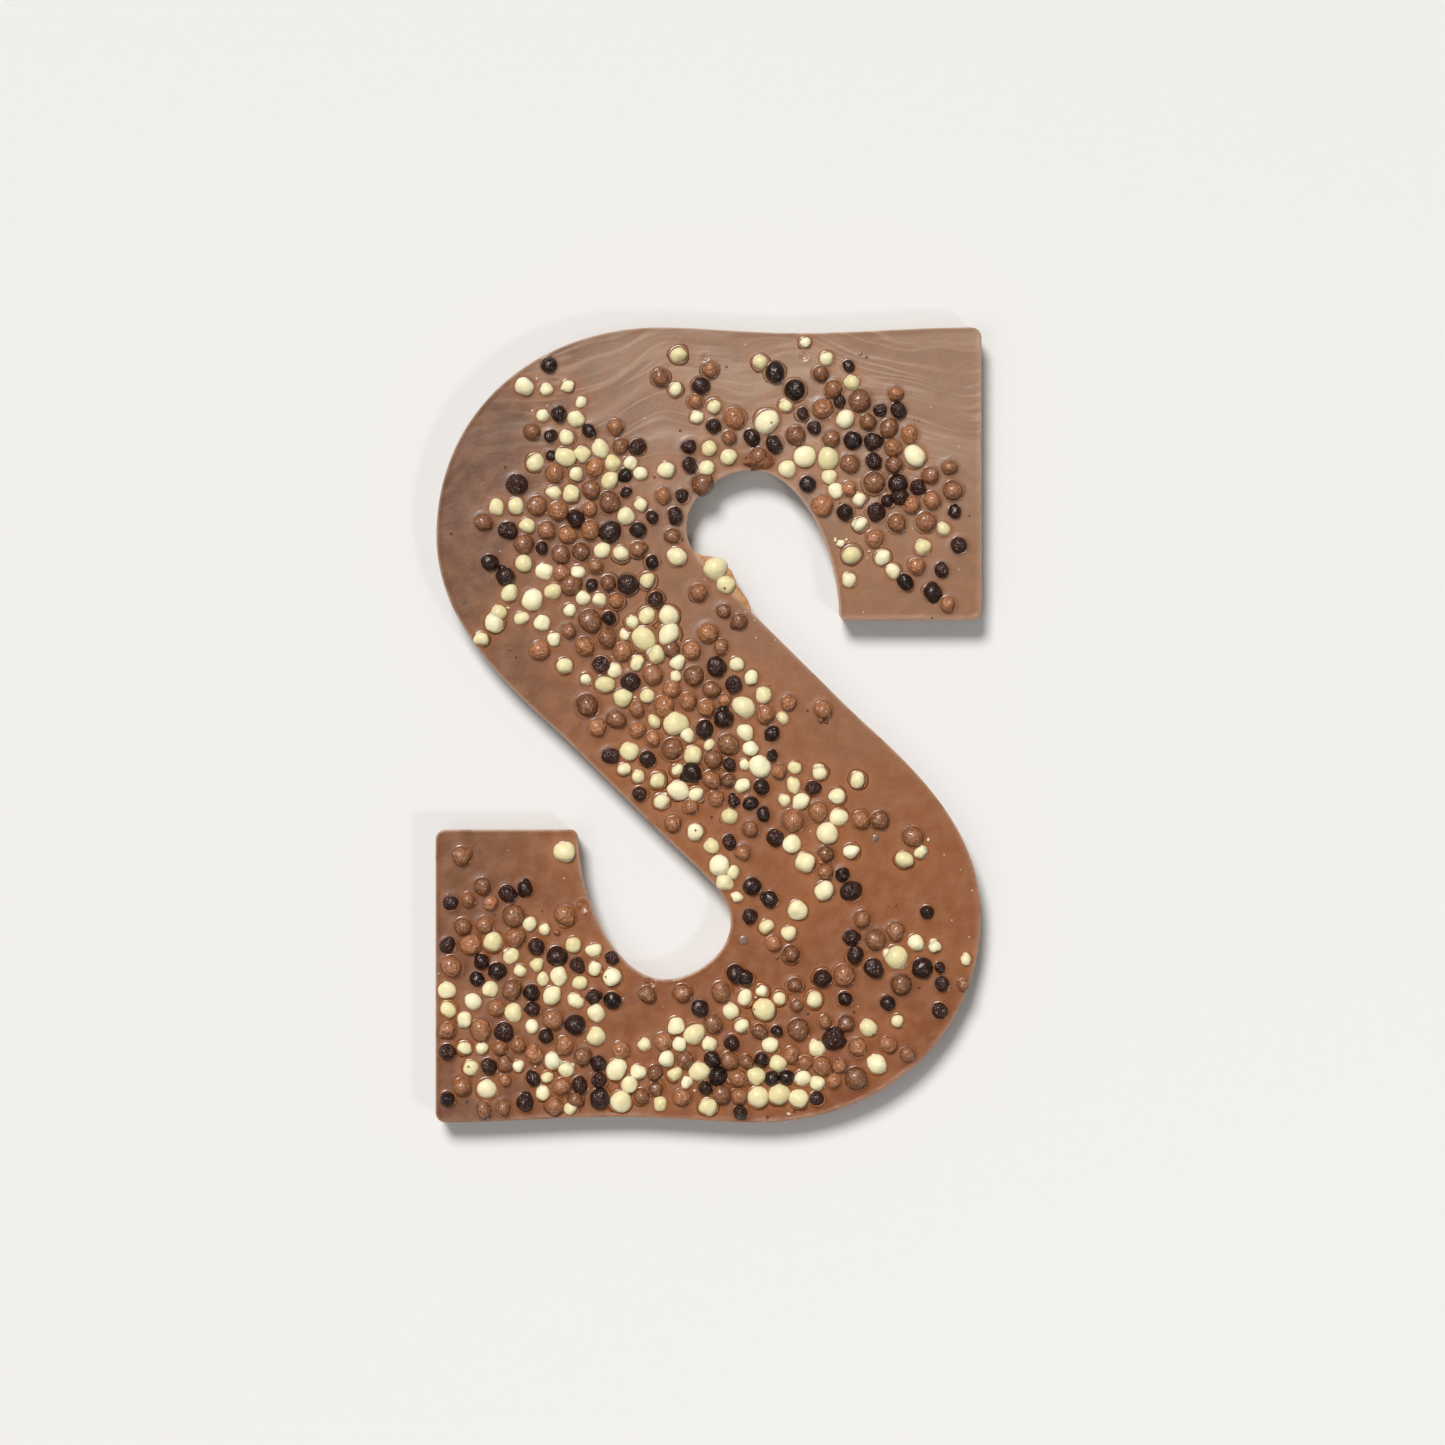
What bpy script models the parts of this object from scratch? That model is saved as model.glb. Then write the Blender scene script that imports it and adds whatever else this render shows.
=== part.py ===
"""A milk chocolate letter S, poured in a mould and lying on its back.

The open face is up. Crisp pearls of white, milk and dark chocolate are sunk into it.
The letter is one solid: its slab with the largest pearls fused on. All sizes are in millimetres
until the mesh is made, which is in metres.
"""
import math
import random

import bmesh
import bpy
import numpy as np
from mathutils import Matrix, Vector
from mathutils.geometry import interpolate_bezier, intersect_point_line

MM = 0.001
NAME = "chocolate_letter"

# The slab
LETTER_WIDTH = 133.2
LETTER_HEIGHT = 194.0
THICKNESS = 8.0
EDGE_ROUNDING = 1.1
DRAFT = 0.5
CORNER_RADIUS = 2.4
INNER_CORNER_RADIUS = 1.9

# The upper end of the letter: its right foot hangs down to here, and reaches in to here
FOOT_END_Y = 25.5
FOOT_INNER_X = 31.8
# The round opening under it: its top and its left side
COUNTER_TOP = (10.2, 62.1)
COUNTER_SIDE = (-5.4, 48.0)
# The straight edge of the slanting middle, from the opening to the lower bowl
SLANT_START = (10.0, 28.0)
SLANT_END = (34.5, 3.8)
SLANT_HEADING = -44.3
# The lower bowl: its outermost point and its lowest point
BOWL_SIDE = (66.4, -46.0)
BOWL_FOOT_X = 12.0
# The shallow dip between the bowl and the corner
DIP = (-22.0, 95.6)
# A quarter of a circle as a curve leaves its end points by this share of the radius
QUARTER = 0.5523
MERGE_DISTANCE = 0.00001
SHARP_EDGE = math.radians(35)

# Pearls. A ball with flat sides is swollen a little, so that it is as wide as the round one on average
SEED = 7
PEARLS_FUSED = 340
PEARL_SIZES = (3.3, 4.3, 5.8)
BALL_SIDES = 7
BALL_RINGS = 4
BALL_SWELLING = 1.05
EDGE_CLEARANCE = 0.4
CROWDING = 0.97
SETTLING_STEPS = 60
SETTLING_PUSH = 0.3
HIGHEST_TOP = 3.0
# How deep the middle of a pearl lies under the face, as a share of its radius
SINK = {"white": (0.15, 0.40), "milk": (0.0, 0.25), "dark": (0.05, 0.30)}

# Pearls that lie apart enough to be measured one by one: across, up and diameter. Each kind runs down the S
PLACED = {
    "white": (
        (-7.3, 90.2, 4.2), (-44.8, 82.4, 5.2), (-39.5, 81.7, 3.5), (-34.3, 82.6, 3.3), (-31.0, 78.6, 2.9),
        (-8.1, 81.7, 3.3), (-2.8, 74.9, 3.3), (-40.4, 75.3, 3.5), (-32.2, 74.5, 4.0), (-34.5, 69.9, 4.1),
        (-34.9, 65.4, 5.1), (-30.7, 65.9, 3.8), (-26.3, 67.3, 4.6), (-42.2, 64.0, 4.4), (-32.2, 61.2, 4.3),
        (-23.5, 63.7, 4.0), (-19.1, 63.9, 3.9), (-24.1, 59.5, 4.8), (-16.5, 61.2, 3.7), (-10.2, 62.2, 4.1),
        (-37.7, 56.5, 4.0), (-33.4, 56.2, 4.3), (-51.6, 53.0, 4.2), (-46.9, 53.5, 4.2), (-20.2, 50.9, 4.6),
        (-16.5, 53.7, 3.7), (-44.1, 48.5, 4.2), (-26.0, 42.6, 4.0), (-21.3, 41.7, 4.2), (-45.0, 39.4, 4.9),
        (-40.0, 37.4, 4.1), (-7.7, 41.0, 4.9), (-31.7, 37.1, 4.1), (-14.9, 35.1, 4.4), (1.4, 77.5, 4.1),
        (23.5, 93.2, 2.8), (12.7, 88.3, 3.8), (28.8, 89.2, 3.6), (35.0, 83.3, 3.8), (18.8, 77.8, 3.4),
        (14.4, 73.8, 6.2), (33.3, 74.5, 5.0), (0.2, 67.3, 4.8), (4.9, 65.2, 4.6), (23.5, 65.3, 5.5),
        (29.2, 64.9, 5.6), (50.2, 65.5, 5.6), (-0.4, 62.5, 4.2), (19.1, 62.3, 4.4), (29.5, 60.4, 3.6),
        (30.9, 57.0, 3.8), (36.7, 54.9, 3.6), (37.0, 48.9, 3.6), (57.3, 47.7, 3.5), (34.8, 41.5, 4.6),
        (52.1, 43.2, 4.1), (42.4, 40.8, 4.0), (44.9, 37.4, 3.8), (34.2, 35.4, 3.8), (1.6, 38.1, 5.9),
        (4.4, 34.2, 4.8), (-48.4, 32.1, 4.3), (-42.8, 30.3, 5.8), (-37.9, 32.5, 4.4), (-51.0, 27.2, 4.0),
        (-52.1, 25.0, 4.7), (-45.6, 25.9, 3.7), (-40.7, 24.9, 4.8), (-55.4, 21.0, 3.7), (-37.6, 20.9, 3.8),
        (-35.1, 14.5, 4.2), (-33.7, 27.9, 3.9), (-30.6, 30.9, 4.0), (-26.7, 30.5, 4.1), (-14.9, 26.6, 4.7),
        (-9.6, 26.6, 4.8), (-18.6, 25.0, 3.5), (-15.7, 21.0, 6.2), (-9.7, 22.0, 5.6), (-20.5, 21.9, 2.8),
        (-17.4, 15.0, 3.8), (-12.7, 17.1, 4.6), (-7.6, 15.2, 3.8), (-22.8, 13.3, 3.6), (6.8, 14.8, 3.8),
        (-8.0, 11.9, 3.2), (10.5, 11.6, 4.2), (-29.9, 11.2, 3.3), (-25.2, 10.0, 4.8), (-20.9, 6.6, 5.0),
        (-14.9, 7.0, 4.2), (13.3, 7.2, 4.6), (8.6, 4.3, 6.0), (18.1, 1.6, 3.4), (-13.3, 0.8, 3.4),
        (-7.9, 0.3, 5.8), (-5.1, -2.4, 4.2), (8.9, -1.8, 4.3), (0.2, -4.8, 2.9), (-3.7, -7.3, 4.6),
        (10.2, -5.8, 4.2), (-19.2, -6.5, 4.4), (8.9, -9.6, 3.0), (12.5, -10.2, 5.2), (21.0, -10.4, 3.4),
        (26.9, -11.7, 4.0), (-20.7, -10.8, 3.2), (-17.1, -12.6, 3.2), (-12.5, -13.5, 4.2),
        (-7.6, -11.0, 3.2), (8.3, -14.7, 4.3), (20.7, -14.6, 4.0), (-7.2, -15.9, 4.8), (-3.0, -17.0, 4.0),
        (18.5, -18.4, 3.5), (22.6, -18.6, 4.3), (31.2, -17.4, 4.2), (-11.5, -18.6, 4.1), (5.2, -22.3, 4.4),
        (31.7, -22.5, 4.3), (-3.2, -26.2, 4.4), (28.9, -26.4, 5.6), (20.2, -29.0, 4.2), (0.8, -29.5, 3.7),
        (36.4, -13.4, 4.1), (47.7, -32.7, 4.2), (51.7, -31.0, 3.2), (34.7, -30.8, 4.1), (23.6, -33.5, 5.2),
        (28.2, -40.4, 5.0), (21.7, -45.0, 4.9), (14.2, -49.2, 3.8), (19.5, -50.7, 3.8), (7.0, -42.0, 3.0),
        (2.7, -34.2, 5.4), (5.9, -35.8, 3.8), (3.9, -38.4, 4.2), (50.5, -53.0, 4.4), (55.1, -54.0, 3.6),
        (45.7, -56.7, 6.4), (62.7, -57.1, 3.0), (13.0, -64.8, 3.4), (8.9, -66.4, 4.3), (17.3, -66.5, 3.6),
        (25.7, -66.9, 4.3), (5.5, -69.7, 3.9), (13.6, -69.4, 5.2), (46.0, -72.1, 3.7), (8.0, -73.3, 3.8),
        (39.0, -73.8, 4.3), (41.1, -82.7, 5.0), (0.2, -77.8, 3.6), (-7.1, -77.9, 3.6), (-15.6, -77.9, 3.6),
        (-35.1, -31.0, 5.0), (-43.5, -48.4, 3.8), (-39.9, -49.7, 3.2), (-52.5, -52.8, 5.0),
        (-33.0, -53.5, 4.2), (-27.8, -55.0, 3.9), (-48.0, -56.3, 4.1), (-41.8, -58.3, 3.8),
        (-45.8, -59.9, 3.5), (-27.8, -59.4, 3.5), (-23.4, -61.3, 4.4), (-36.5, -61.2, 4.6),
        (-40.3, -61.8, 3.6), (-31.5, -62.8, 4.0), (-53.2, -64.5, 3.8), (-38.1, -65.9, 4.9),
        (-63.8, -64.7, 4.2), (-57.3, -67.4, 4.4), (-32.4, -67.2, 4.2), (-63.5, -69.2, 4.2),
        (-47.5, -70.2, 4.4), (-27.4, -70.1, 4.8), (-59.3, -71.8, 3.8), (-42.9, -73.5, 3.5),
        (-27.4, -75.9, 4.6), (-59.5, -78.7, 3.6), (-55.2, -78.7, 3.6), (-38.0, -81.8, 4.2),
        (-46.3, -83.0, 2.9), (-57.8, -83.5, 4.0), (-34.5, -83.9, 3.9), (-39.3, -85.8, 3.0),
        (-53.9, -88.5, 5.4), (-40.4, -89.6, 3.7), (-33.5, -93.2, 3.6),
    ),
    "milk": (
        (0.3, 86.5, 4.2), (-11.7, 84.6, 4.5), (-3.3, 78.8, 3.8), (-22.7, 72.5, 4.3), (-43.0, 71.5, 3.9),
        (-21.4, 67.9, 4.2), (-37.5, 61.4, 4.9), (-27.7, 62.6, 4.8), (-28.7, 57.3, 4.5), (-11.1, 55.9, 4.1),
        (-41.8, 53.4, 5.2), (-36.6, 52.2, 4.8), (-24.1, 54.2, 6.0), (-28.8, 52.5, 4.2), (-54.9, 49.4, 4.5),
        (-39.5, 47.4, 4.8), (-34.4, 46.3, 5.0), (-28.9, 47.4, 5.2), (-8.8, 46.0, 4.0), (-45.0, 44.1, 4.9),
        (-36.0, 41.6, 4.8), (-31.0, 42.2, 4.9), (-17.2, 42.8, 4.2), (-27.6, 38.6, 3.6), (-35.9, 37.0, 4.0),
        (-33.5, 34.0, 6.0), (-24.4, 34.6, 4.3), (6.3, 74.7, 5.6), (5.0, 70.0, 3.9), (12.1, 65.5, 4.7),
        (-1.4, 58.7, 6.2), (27.3, 85.5, 4.3), (30.5, 81.8, 4.8), (27.9, 77.0, 5.4), (36.9, 78.9, 6.3),
        (45.5, 80.8, 4.0), (38.8, 73.8, 4.2), (21.2, 70.5, 4.7), (43.9, 72.3, 4.9), (48.9, 70.8, 4.7),
        (29.9, 69.7, 4.6), (44.9, 67.5, 4.7), (34.4, 63.7, 4.9), (45.1, 63.4, 4.6), (58.6, 62.7, 4.2),
        (54.0, 60.8, 4.5), (40.4, 59.0, 5.8), (59.5, 57.1, 5.3), (34.2, 57.7, 3.8), (54.5, 54.8, 4.8),
        (27.6, 53.4, 5.2), (49.4, 53.6, 4.3), (45.9, 49.2, 5.0), (52.9, 49.5, 5.2), (40.5, 45.4, 4.7),
        (50.6, 38.7, 4.1), (58.2, 29.4, 4.2), (-2.4, 32.3, 4.6), (3.7, 27.7, 3.9), (7.4, 25.2, 4.0),
        (-0.2, 22.3, 5.2), (-22.5, 30.2, 4.2), (-28.9, 25.3, 6.1), (-34.1, 22.9, 4.1), (-24.6, 21.2, 5.1),
        (-30.1, 19.1, 5.2), (-20.9, 17.9, 4.8), (-41.1, 18.3, 4.8), (-9.0, 18.4, 4.2), (-4.1, 18.1, 5.2),
        (3.0, 19.1, 4.0), (-13.7, 12.3, 4.9), (-3.5, 11.9, 5.5), (-9.0, 8.8, 4.2), (0.7, 8.6, 4.6),
        (-29.5, 4.7, 6.2), (-10.8, 4.5, 5.6), (-5.1, 5.8, 4.6), (3.9, 6.0, 3.5), (-0.6, 4.1, 4.4),
        (-17.5, 3.9, 4.2), (19.5, 5.4, 3.9), (27.8, 3.7, 4.4), (13.8, 2.5, 4.7), (-22.5, 1.4, 4.9),
        (-27.1, -0.6, 4.6), (-17.4, -1.2, 4.1), (-13.5, -3.3, 4.0), (4.8, -4.8, 5.6), (-8.8, -5.9, 5.8),
        (1.2, -8.4, 4.9), (17.1, -11.3, 4.0), (0.7, -13.4, 5.0), (4.8, -13.6, 3.8), (1.9, -17.9, 4.3),
        (-4.4, -19.9, 3.8), (26.7, -21.2, 5.4), (20.6, -23.4, 6.2), (-8.6, -24.1, 3.9), (10.2, -25.3, 4.3),
        (8.3, -31.1, 4.2), (28.6, -31.5, 4.6), (37.0, -23.0, 4.3), (41.7, -23.1, 4.6), (49.7, -27.2, 5.4),
        (28.4, -35.7, 4.2), (15.8, -53.1, 3.9), (20.1, -55.8, 4.6), (37.5, -47.3, 4.6), (45.5, -50.2, 4.6),
        (40.6, -52.3, 5.8), (62.0, -63.3, 3.2), (33.0, -61.0, 5.6), (47.0, -63.3, 6.0), (3.0, -64.9, 5.2),
        (21.0, -63.4, 4.0), (21.6, -68.4, 3.4), (1.0, -72.7, 4.7), (12.4, -74.7, 4.2), (21.9, -74.2, 5.7),
        (28.4, -72.3, 3.5), (33.5, -72.8, 4.4), (36.4, -78.6, 5.2), (43.7, -77.8, 4.2), (48.3, -80.2, 4.0),
        (36.0, -86.1, 6.0), (-15.0, -65.6, 4.4), (-6.3, -65.3, 4.8), (-60.2, -31.9, 4.9),
        (-55.1, -39.3, 4.6), (-58.6, -42.5, 3.8), (-53.1, -43.4, 3.6), (-47.6, -46.5, 6.0),
        (-34.9, -46.5, 5.4), (-59.8, -49.1, 4.7), (-54.5, -48.6, 4.5), (-47.1, -51.7, 5.2),
        (-57.9, -53.5, 5.0), (-62.6, -58.8, 5.8), (-47.9, -64.5, 5.2), (-51.7, -69.0, 4.8),
        (-37.9, -71.8, 5.2), (-55.5, -74.3, 5.8), (-63.6, -74.3, 3.9), (-35.0, -78.0, 4.8),
        (-46.3, -77.9, 4.2), (-50.8, -78.7, 3.8), (-42.5, -80.3, 4.8), (-49.7, -82.6, 4.0),
        (-30.6, -80.7, 4.4), (-49.6, -86.5, 3.4), (-60.0, -88.1, 4.6), (-35.7, -88.1, 4.6),
        (-54.8, -93.6, 4.2), (-50.0, -93.2, 4.2), (-32.4, -91.2, 3.8), (-37.4, -92.8, 4.2),
    ),
    "dark": (
        (-38.9, 87.7, 4.1), (-1.9, 82.6, 4.2), (-36.4, 75.7, 4.0), (-38.5, 70.3, 3.4), (-29.0, 71.5, 3.6),
        (-38.4, 65.6, 3.0), (-17.3, 67.7, 4.2), (-4.8, 67.7, 4.3), (-4.6, 63.4, 4.0), (-46.6, 58.6, 5.2),
        (-20.3, 60.8, 3.8), (-20.1, 56.8, 2.9), (-6.5, 55.8, 3.9), (-32.3, 50.1, 5.4), (-13.7, 50.6, 3.7),
        (-8.2, 51.1, 4.3), (-48.9, 47.4, 4.5), (-24.0, 47.0, 5.9), (-17.1, 47.6, 4.0), (-40.5, 43.1, 3.7),
        (-53.3, 39.6, 4.4), (-49.6, 36.3, 4.6), (-13.7, 39.7, 3.7), (-19.6, 34.2, 4.9), (-28.5, 34.0, 3.3),
        (1.2, 72.8, 4.1), (10.6, 70.1, 4.4), (15.9, 68.4, 4.6), (16.1, 85.8, 5.0), (21.0, 81.6, 5.5),
        (34.1, 87.4, 3.1), (22.9, 75.8, 3.4), (31.8, 78.9, 3.6), (41.9, 76.7, 3.4), (46.1, 76.7, 4.2),
        (25.7, 72.4, 3.9), (35.1, 69.2, 4.9), (40.0, 69.0, 4.4), (40.2, 64.2, 4.2), (24.1, 58.7, 4.3),
        (46.1, 58.6, 5.2), (46.6, 55.6, 4.6), (51.1, 57.9, 4.4), (43.6, 54.6, 3.6), (33.2, 51.7, 4.3),
        (40.9, 51.8, 5.2), (59.8, 51.9, 3.3), (61.0, 43.8, 4.5), (56.7, 37.7, 3.9), (47.9, 34.8, 4.2),
        (54.5, 32.5, 4.5), (-12.9, 30.6, 3.9), (-24.2, 26.0, 3.9), (-26.2, 14.8, 4.3), (1.9, 14.1, 5.2),
        (-18.9, 10.5, 5.0), (6.1, 9.8, 4.4), (3.6, 1.6, 4.9), (-0.9, -1.0, 4.8), (15.4, -2.1, 4.2),
        (-24.0, -7.5, 4.3), (-14.9, -8.3, 4.3), (15.5, -7.5, 3.2), (5.1, -9.6, 3.6), (-4.1, -11.6, 5.2),
        (12.9, -15.2, 4.4), (25.3, -15.3, 3.7), (-16.8, -16.7, 3.8), (6.2, -18.6, 3.3), (10.3, -19.0, 4.1),
        (13.4, -21.8, 4.2), (16.2, -27.5, 4.7), (5.0, -28.5, 3.9), (32.6, -36.5, 3.9), (34.7, -40.4, 5.6),
        (10.6, -39.3, 4.6), (14.9, -42.4, 4.3), (10.1, -46.7, 3.8), (34.8, -51.7, 4.2), (53.2, -45.5, 3.4),
        (35.7, -56.0, 4.6), (40.2, -59.2, 5.0), (52.0, -59.2, 5.0), (56.3, -59.1, 3.2), (56.9, -63.1, 4.0),
        (27.7, -61.7, 4.6), (6.6, -60.6, 5.0), (9.0, -61.6, 4.0), (-2.2, -68.9, 4.1), (33.2, -66.7, 4.0),
        (43.6, -67.7, 4.4), (56.3, -69.6, 4.5), (16.7, -74.6, 3.3), (30.5, -76.3, 5.6), (5.7, -77.4, 4.4),
        (-62.8, -43.3, 4.2), (-49.0, -41.1, 4.6), (-44.6, -39.7, 4.0), (-63.5, -53.7, 4.0),
        (-41.9, -54.0, 4.6), (-36.9, -56.4, 5.4), (-32.0, -58.3, 4.3), (-55.2, -57.6, 4.0),
        (-51.5, -60.0, 4.6), (-23.5, -56.9, 3.3), (-56.3, -61.9, 3.7), (-43.1, -65.2, 4.6),
        (-27.9, -66.1, 3.9), (-23.5, -67.1, 4.6), (-42.9, -69.2, 3.9), (-32.4, -73.1, 5.0),
        (-49.8, -74.7, 4.9), (-39.5, -75.9, 4.2), (-63.7, -79.6, 4.2), (-53.5, -83.2, 4.6),
        (-42.7, -86.1, 3.9), (-31.4, -87.7, 4.4), (-44.7, -92.0, 4.8), (-63.6, -91.0, 4.0),
    ),
}
# Patches that are strewn by chance, one a row: middle, half width, half height, and pearls of each kind
PATCHES = (
    (-16, -87, 13, 8, 7, 5, 4),
    (0, -85, 8, 9, 5, 5, 3),
    (16, -86, 12, 8, 8, 6, 4),
    (29, -88, 5, 6, 2, 2, 1),
)
MEASURED = sum(len(pearls) for pearls in PLACED.values())


def round_stretch(start, start_pull, end_pull, end, steps):
    """Points of a curve between two places, without the last one."""
    return interpolate_bezier(start, start + start_pull, end - end_pull, end, steps + 1)[:-1]


def half_outline():
    """Half of the letter's outline, from its top right corner down to the lower left one."""
    right = LETTER_WIDTH / 2
    top = LETTER_HEIGHT / 2
    outer = CORNER_RADIUS
    inner = INNER_CORNER_RADIUS
    corner_pull = QUARTER * outer
    inner_pull = QUARTER * inner
    # Each knot: its place, its heading, the pull before and after it, and the steps to the next
    knots = (
        (right - outer, top, 0, 15, corner_pull, 3),
        (right, top - outer, -90, corner_pull, 0, 1),
        (right, FOOT_END_Y + outer, -90, 0, corner_pull, 3),
        (right - outer, FOOT_END_Y, 180, corner_pull, 0, 1),
        (FOOT_INNER_X + inner, FOOT_END_Y, 180, 0, inner_pull, 3),
        (FOOT_INNER_X, FOOT_END_Y + inner, 90, inner_pull, 13.1, 9),
        (*COUNTER_TOP, 180, 13.4, 5.0, 6),
        (*COUNTER_SIDE, -90, 9.0, 7.0, 6),
        (*SLANT_START, SLANT_HEADING, 10.0, 0, 1),
        (*SLANT_END, SLANT_HEADING, 0, 13.5, 9),
        (*BOWL_SIDE, -90, 23.7, 31.5, 13),
        (BOWL_FOOT_X, -top, 180, 29.0, 10.0, 4),
        (DIP[0], -DIP[1], 180, 12.0, 15.0, 4),
        (outer - right, -top, 180, 15.0, 0, 1),
    )
    points = []
    for knot, following in zip(knots, knots[1:]):
        x, y, heading, _, pull, steps = knot
        next_x, next_y, next_heading, next_pull, _, _ = following
        way = Vector((math.cos(math.radians(heading)), math.sin(math.radians(heading))))
        next_way = Vector((math.cos(math.radians(next_heading)), math.sin(math.radians(next_heading))))
        start = Vector((x, y))
        end = Vector((next_x, next_y))
        points += round_stretch(start, way * pull, next_way * next_pull, end, steps)
    return points


def letter_outline():
    """The whole outline: an S looks the same after half a turn."""
    half = half_outline()
    return half + [-point for point in half]


def depth_inside(place, outline):
    """How far a place lies inside the outline, or less than nothing outside it."""
    nearest = math.inf
    inside = False
    for first, second in zip(outline, outline[1:] + outline[:1]):
        foot, share = intersect_point_line(place, first, second)
        foot = first.lerp(second, min(max(share, 0.0), 1.0))
        nearest = min(nearest, (place - foot).length)
        if (first.y > place.y) != (second.y > place.y):
            crossing = first.x + (place.y - first.y) * (second.x - first.x) / (second.y - first.y)
            inside ^= place.x < crossing
    return nearest if inside else -nearest


def thrown_pearls():
    """The pearls as they are thrown: place, diameter and kind. The measured ones come first."""
    draw = random.Random(SEED)
    pearls = [(Vector((x, y)), diameter, kind) for kind in PLACED for x, y, diameter in PLACED[kind]]
    for x, y, half_width, half_height, white, milk, dark in PATCHES:
        for kind in ["white"] * white + ["milk"] * milk + ["dark"] * dark:
            reach = math.sqrt(draw.random())
            angle = draw.uniform(0, math.tau)
            offset = Vector((half_width * reach * math.cos(angle), half_height * reach * math.sin(angle)))
            smallest, usual, largest = PEARL_SIZES
            pearls.append((Vector((x, y)) + offset, draw.triangular(smallest, largest, usual), kind))
    return pearls


def settled_places(pearls):
    """Where the pearls end when those that overlap push each other aside. The measured ones stay put."""
    places = np.array([place[:] for place, _, _ in pearls])
    radii = np.array([diameter / 2 for _, diameter, _ in pearls])
    loose = np.arange(len(pearls)) >= MEASURED
    for _ in range(SETTLING_STEPS):
        apart = places[:, None] - places[None]
        distance = np.linalg.norm(apart, axis=2) + np.eye(len(pearls))
        overlap = np.clip((radii[:, None] + radii[None]) * CROWDING - distance, 0, None)
        np.fill_diagonal(overlap, 0)
        push = (apart * (overlap / distance)[..., None]).sum(axis=1)
        places[loose] += SETTLING_PUSH * push[loose]
    return [Vector(place) for place in places]


def strewn_pearls(outline):
    """The pearls as they lie: place, diameter, kind and depth of their middle under the face."""
    draw = random.Random(SEED)
    thrown = thrown_pearls()
    pearls = []
    for number, (place, (_, diameter, kind)) in enumerate(zip(settled_places(thrown), thrown)):
        depth = draw.uniform(*SINK[kind]) * diameter / 2
        depth = max(depth, diameter / 2 - HIGHEST_TOP)
        if number < MEASURED or depth_inside(place, outline) > diameter / 2 + EDGE_CLEARANCE:
            pearls.append((place, diameter, kind, depth))
    return pearls


def largest_pearls(outline):
    """The pearls that are fused to the slab."""
    by_size = sorted(strewn_pearls(outline), key=lambda pearl: -pearl[1])
    return by_size[:PEARLS_FUSED]


def new_object(name, mesh, collection):
    """A new object in a collection."""
    piece = bpy.data.objects.new(name, mesh)
    collection.objects.link(piece)
    return piece


def add_slab(outline, collection):
    """The slab as a flat curve with rounded edges, made a mesh whose sides lean in towards the back."""
    curve = bpy.data.curves.new("outline", "CURVE")
    curve.dimensions = "2D"
    curve.fill_mode = "BOTH"
    curve.extrude = (THICKNESS / 2 - EDGE_ROUNDING) * MM
    curve.bevel_depth = EDGE_ROUNDING * MM
    curve.bevel_resolution = 0
    curve.offset = -EDGE_ROUNDING * MM
    spline = curve.splines.new("POLY")
    spline.points.add(len(outline) - 1)
    for point, place in zip(spline.points, outline):
        point.co = (place.x * MM, place.y * MM, 0, 1)
    spline.use_cyclic_u = True
    drawn = new_object("outline", curve, collection)
    drawn.location.z = THICKNESS / 2 * MM
    bpy.context.view_layer.update()
    evaluated = drawn.evaluated_get(bpy.context.evaluated_depsgraph_get())
    mesh = bpy.data.meshes.new_from_object(evaluated)
    slab = new_object(NAME, mesh, collection)
    slab.matrix_world = drawn.matrix_world
    bpy.data.objects.remove(drawn)

    shape = bmesh.new()
    shape.from_mesh(mesh)
    bmesh.ops.remove_doubles(shape, verts=shape.verts, dist=MERGE_DISTANCE)
    bmesh.ops.recalc_face_normals(shape, faces=shape.faces)
    shape.normal_update()
    for vertex in shape.verts:
        depth = 0.5 - vertex.co.z / (THICKNESS * MM)
        outward = vertex.normal.to_2d().normalized()
        vertex.co -= outward.to_3d() * DRAFT * MM * depth
    shape.to_mesh(mesh)
    shape.free()
    return slab


def add_pearls(pearls, collection):
    """A faceted ball for each pearl, its middle a little under the face."""
    for number, (place, diameter, _, depth) in enumerate(pearls):
        ball = bmesh.new()
        radius = diameter / 2 * MM
        bmesh.ops.create_uvsphere(ball, u_segments=BALL_SIDES, v_segments=BALL_RINGS, radius=radius)
        bmesh.ops.scale(ball, vec=(BALL_SWELLING, BALL_SWELLING, 1), verts=ball.verts)
        bmesh.ops.rotate(ball, matrix=Matrix.Rotation(number, 3, "Z"), verts=ball.verts)
        centre = Vector((place.x, place.y, THICKNESS - depth)) * MM
        bmesh.ops.translate(ball, vec=centre, verts=ball.verts)
        mesh = bpy.data.meshes.new("pearl")
        ball.to_mesh(mesh)
        ball.free()
        new_object(f"pearl_{number}", mesh, collection)


def fuse(slab, pearls):
    """Joins the pearls to the slab by one union, then removes them."""
    union = slab.modifiers.new("pearls", "BOOLEAN")
    union.operation = "UNION"
    union.operand_type = "COLLECTION"
    union.collection = pearls
    union.solver = "MANIFOLD"
    bpy.context.view_layer.update()
    evaluated = slab.evaluated_get(bpy.context.evaluated_depsgraph_get())
    fused = bpy.data.meshes.new_from_object(evaluated)
    slab.modifiers.remove(union)
    slab.data = fused
    for piece in list(pearls.objects):
        bpy.data.objects.remove(piece)
    bpy.data.collections.remove(pearls)


def milk_chocolate():
    """Satin milk chocolate."""
    material = bpy.data.materials.new("milk chocolate")
    material.use_nodes = True
    shader = material.node_tree.nodes["Principled BSDF"]
    shader.inputs["Base Color"].default_value = (0.27, 0.12, 0.065, 1)
    shader.inputs["Roughness"].default_value = 0.42
    shader.inputs["Metallic"].default_value = 0.0
    return material


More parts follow.
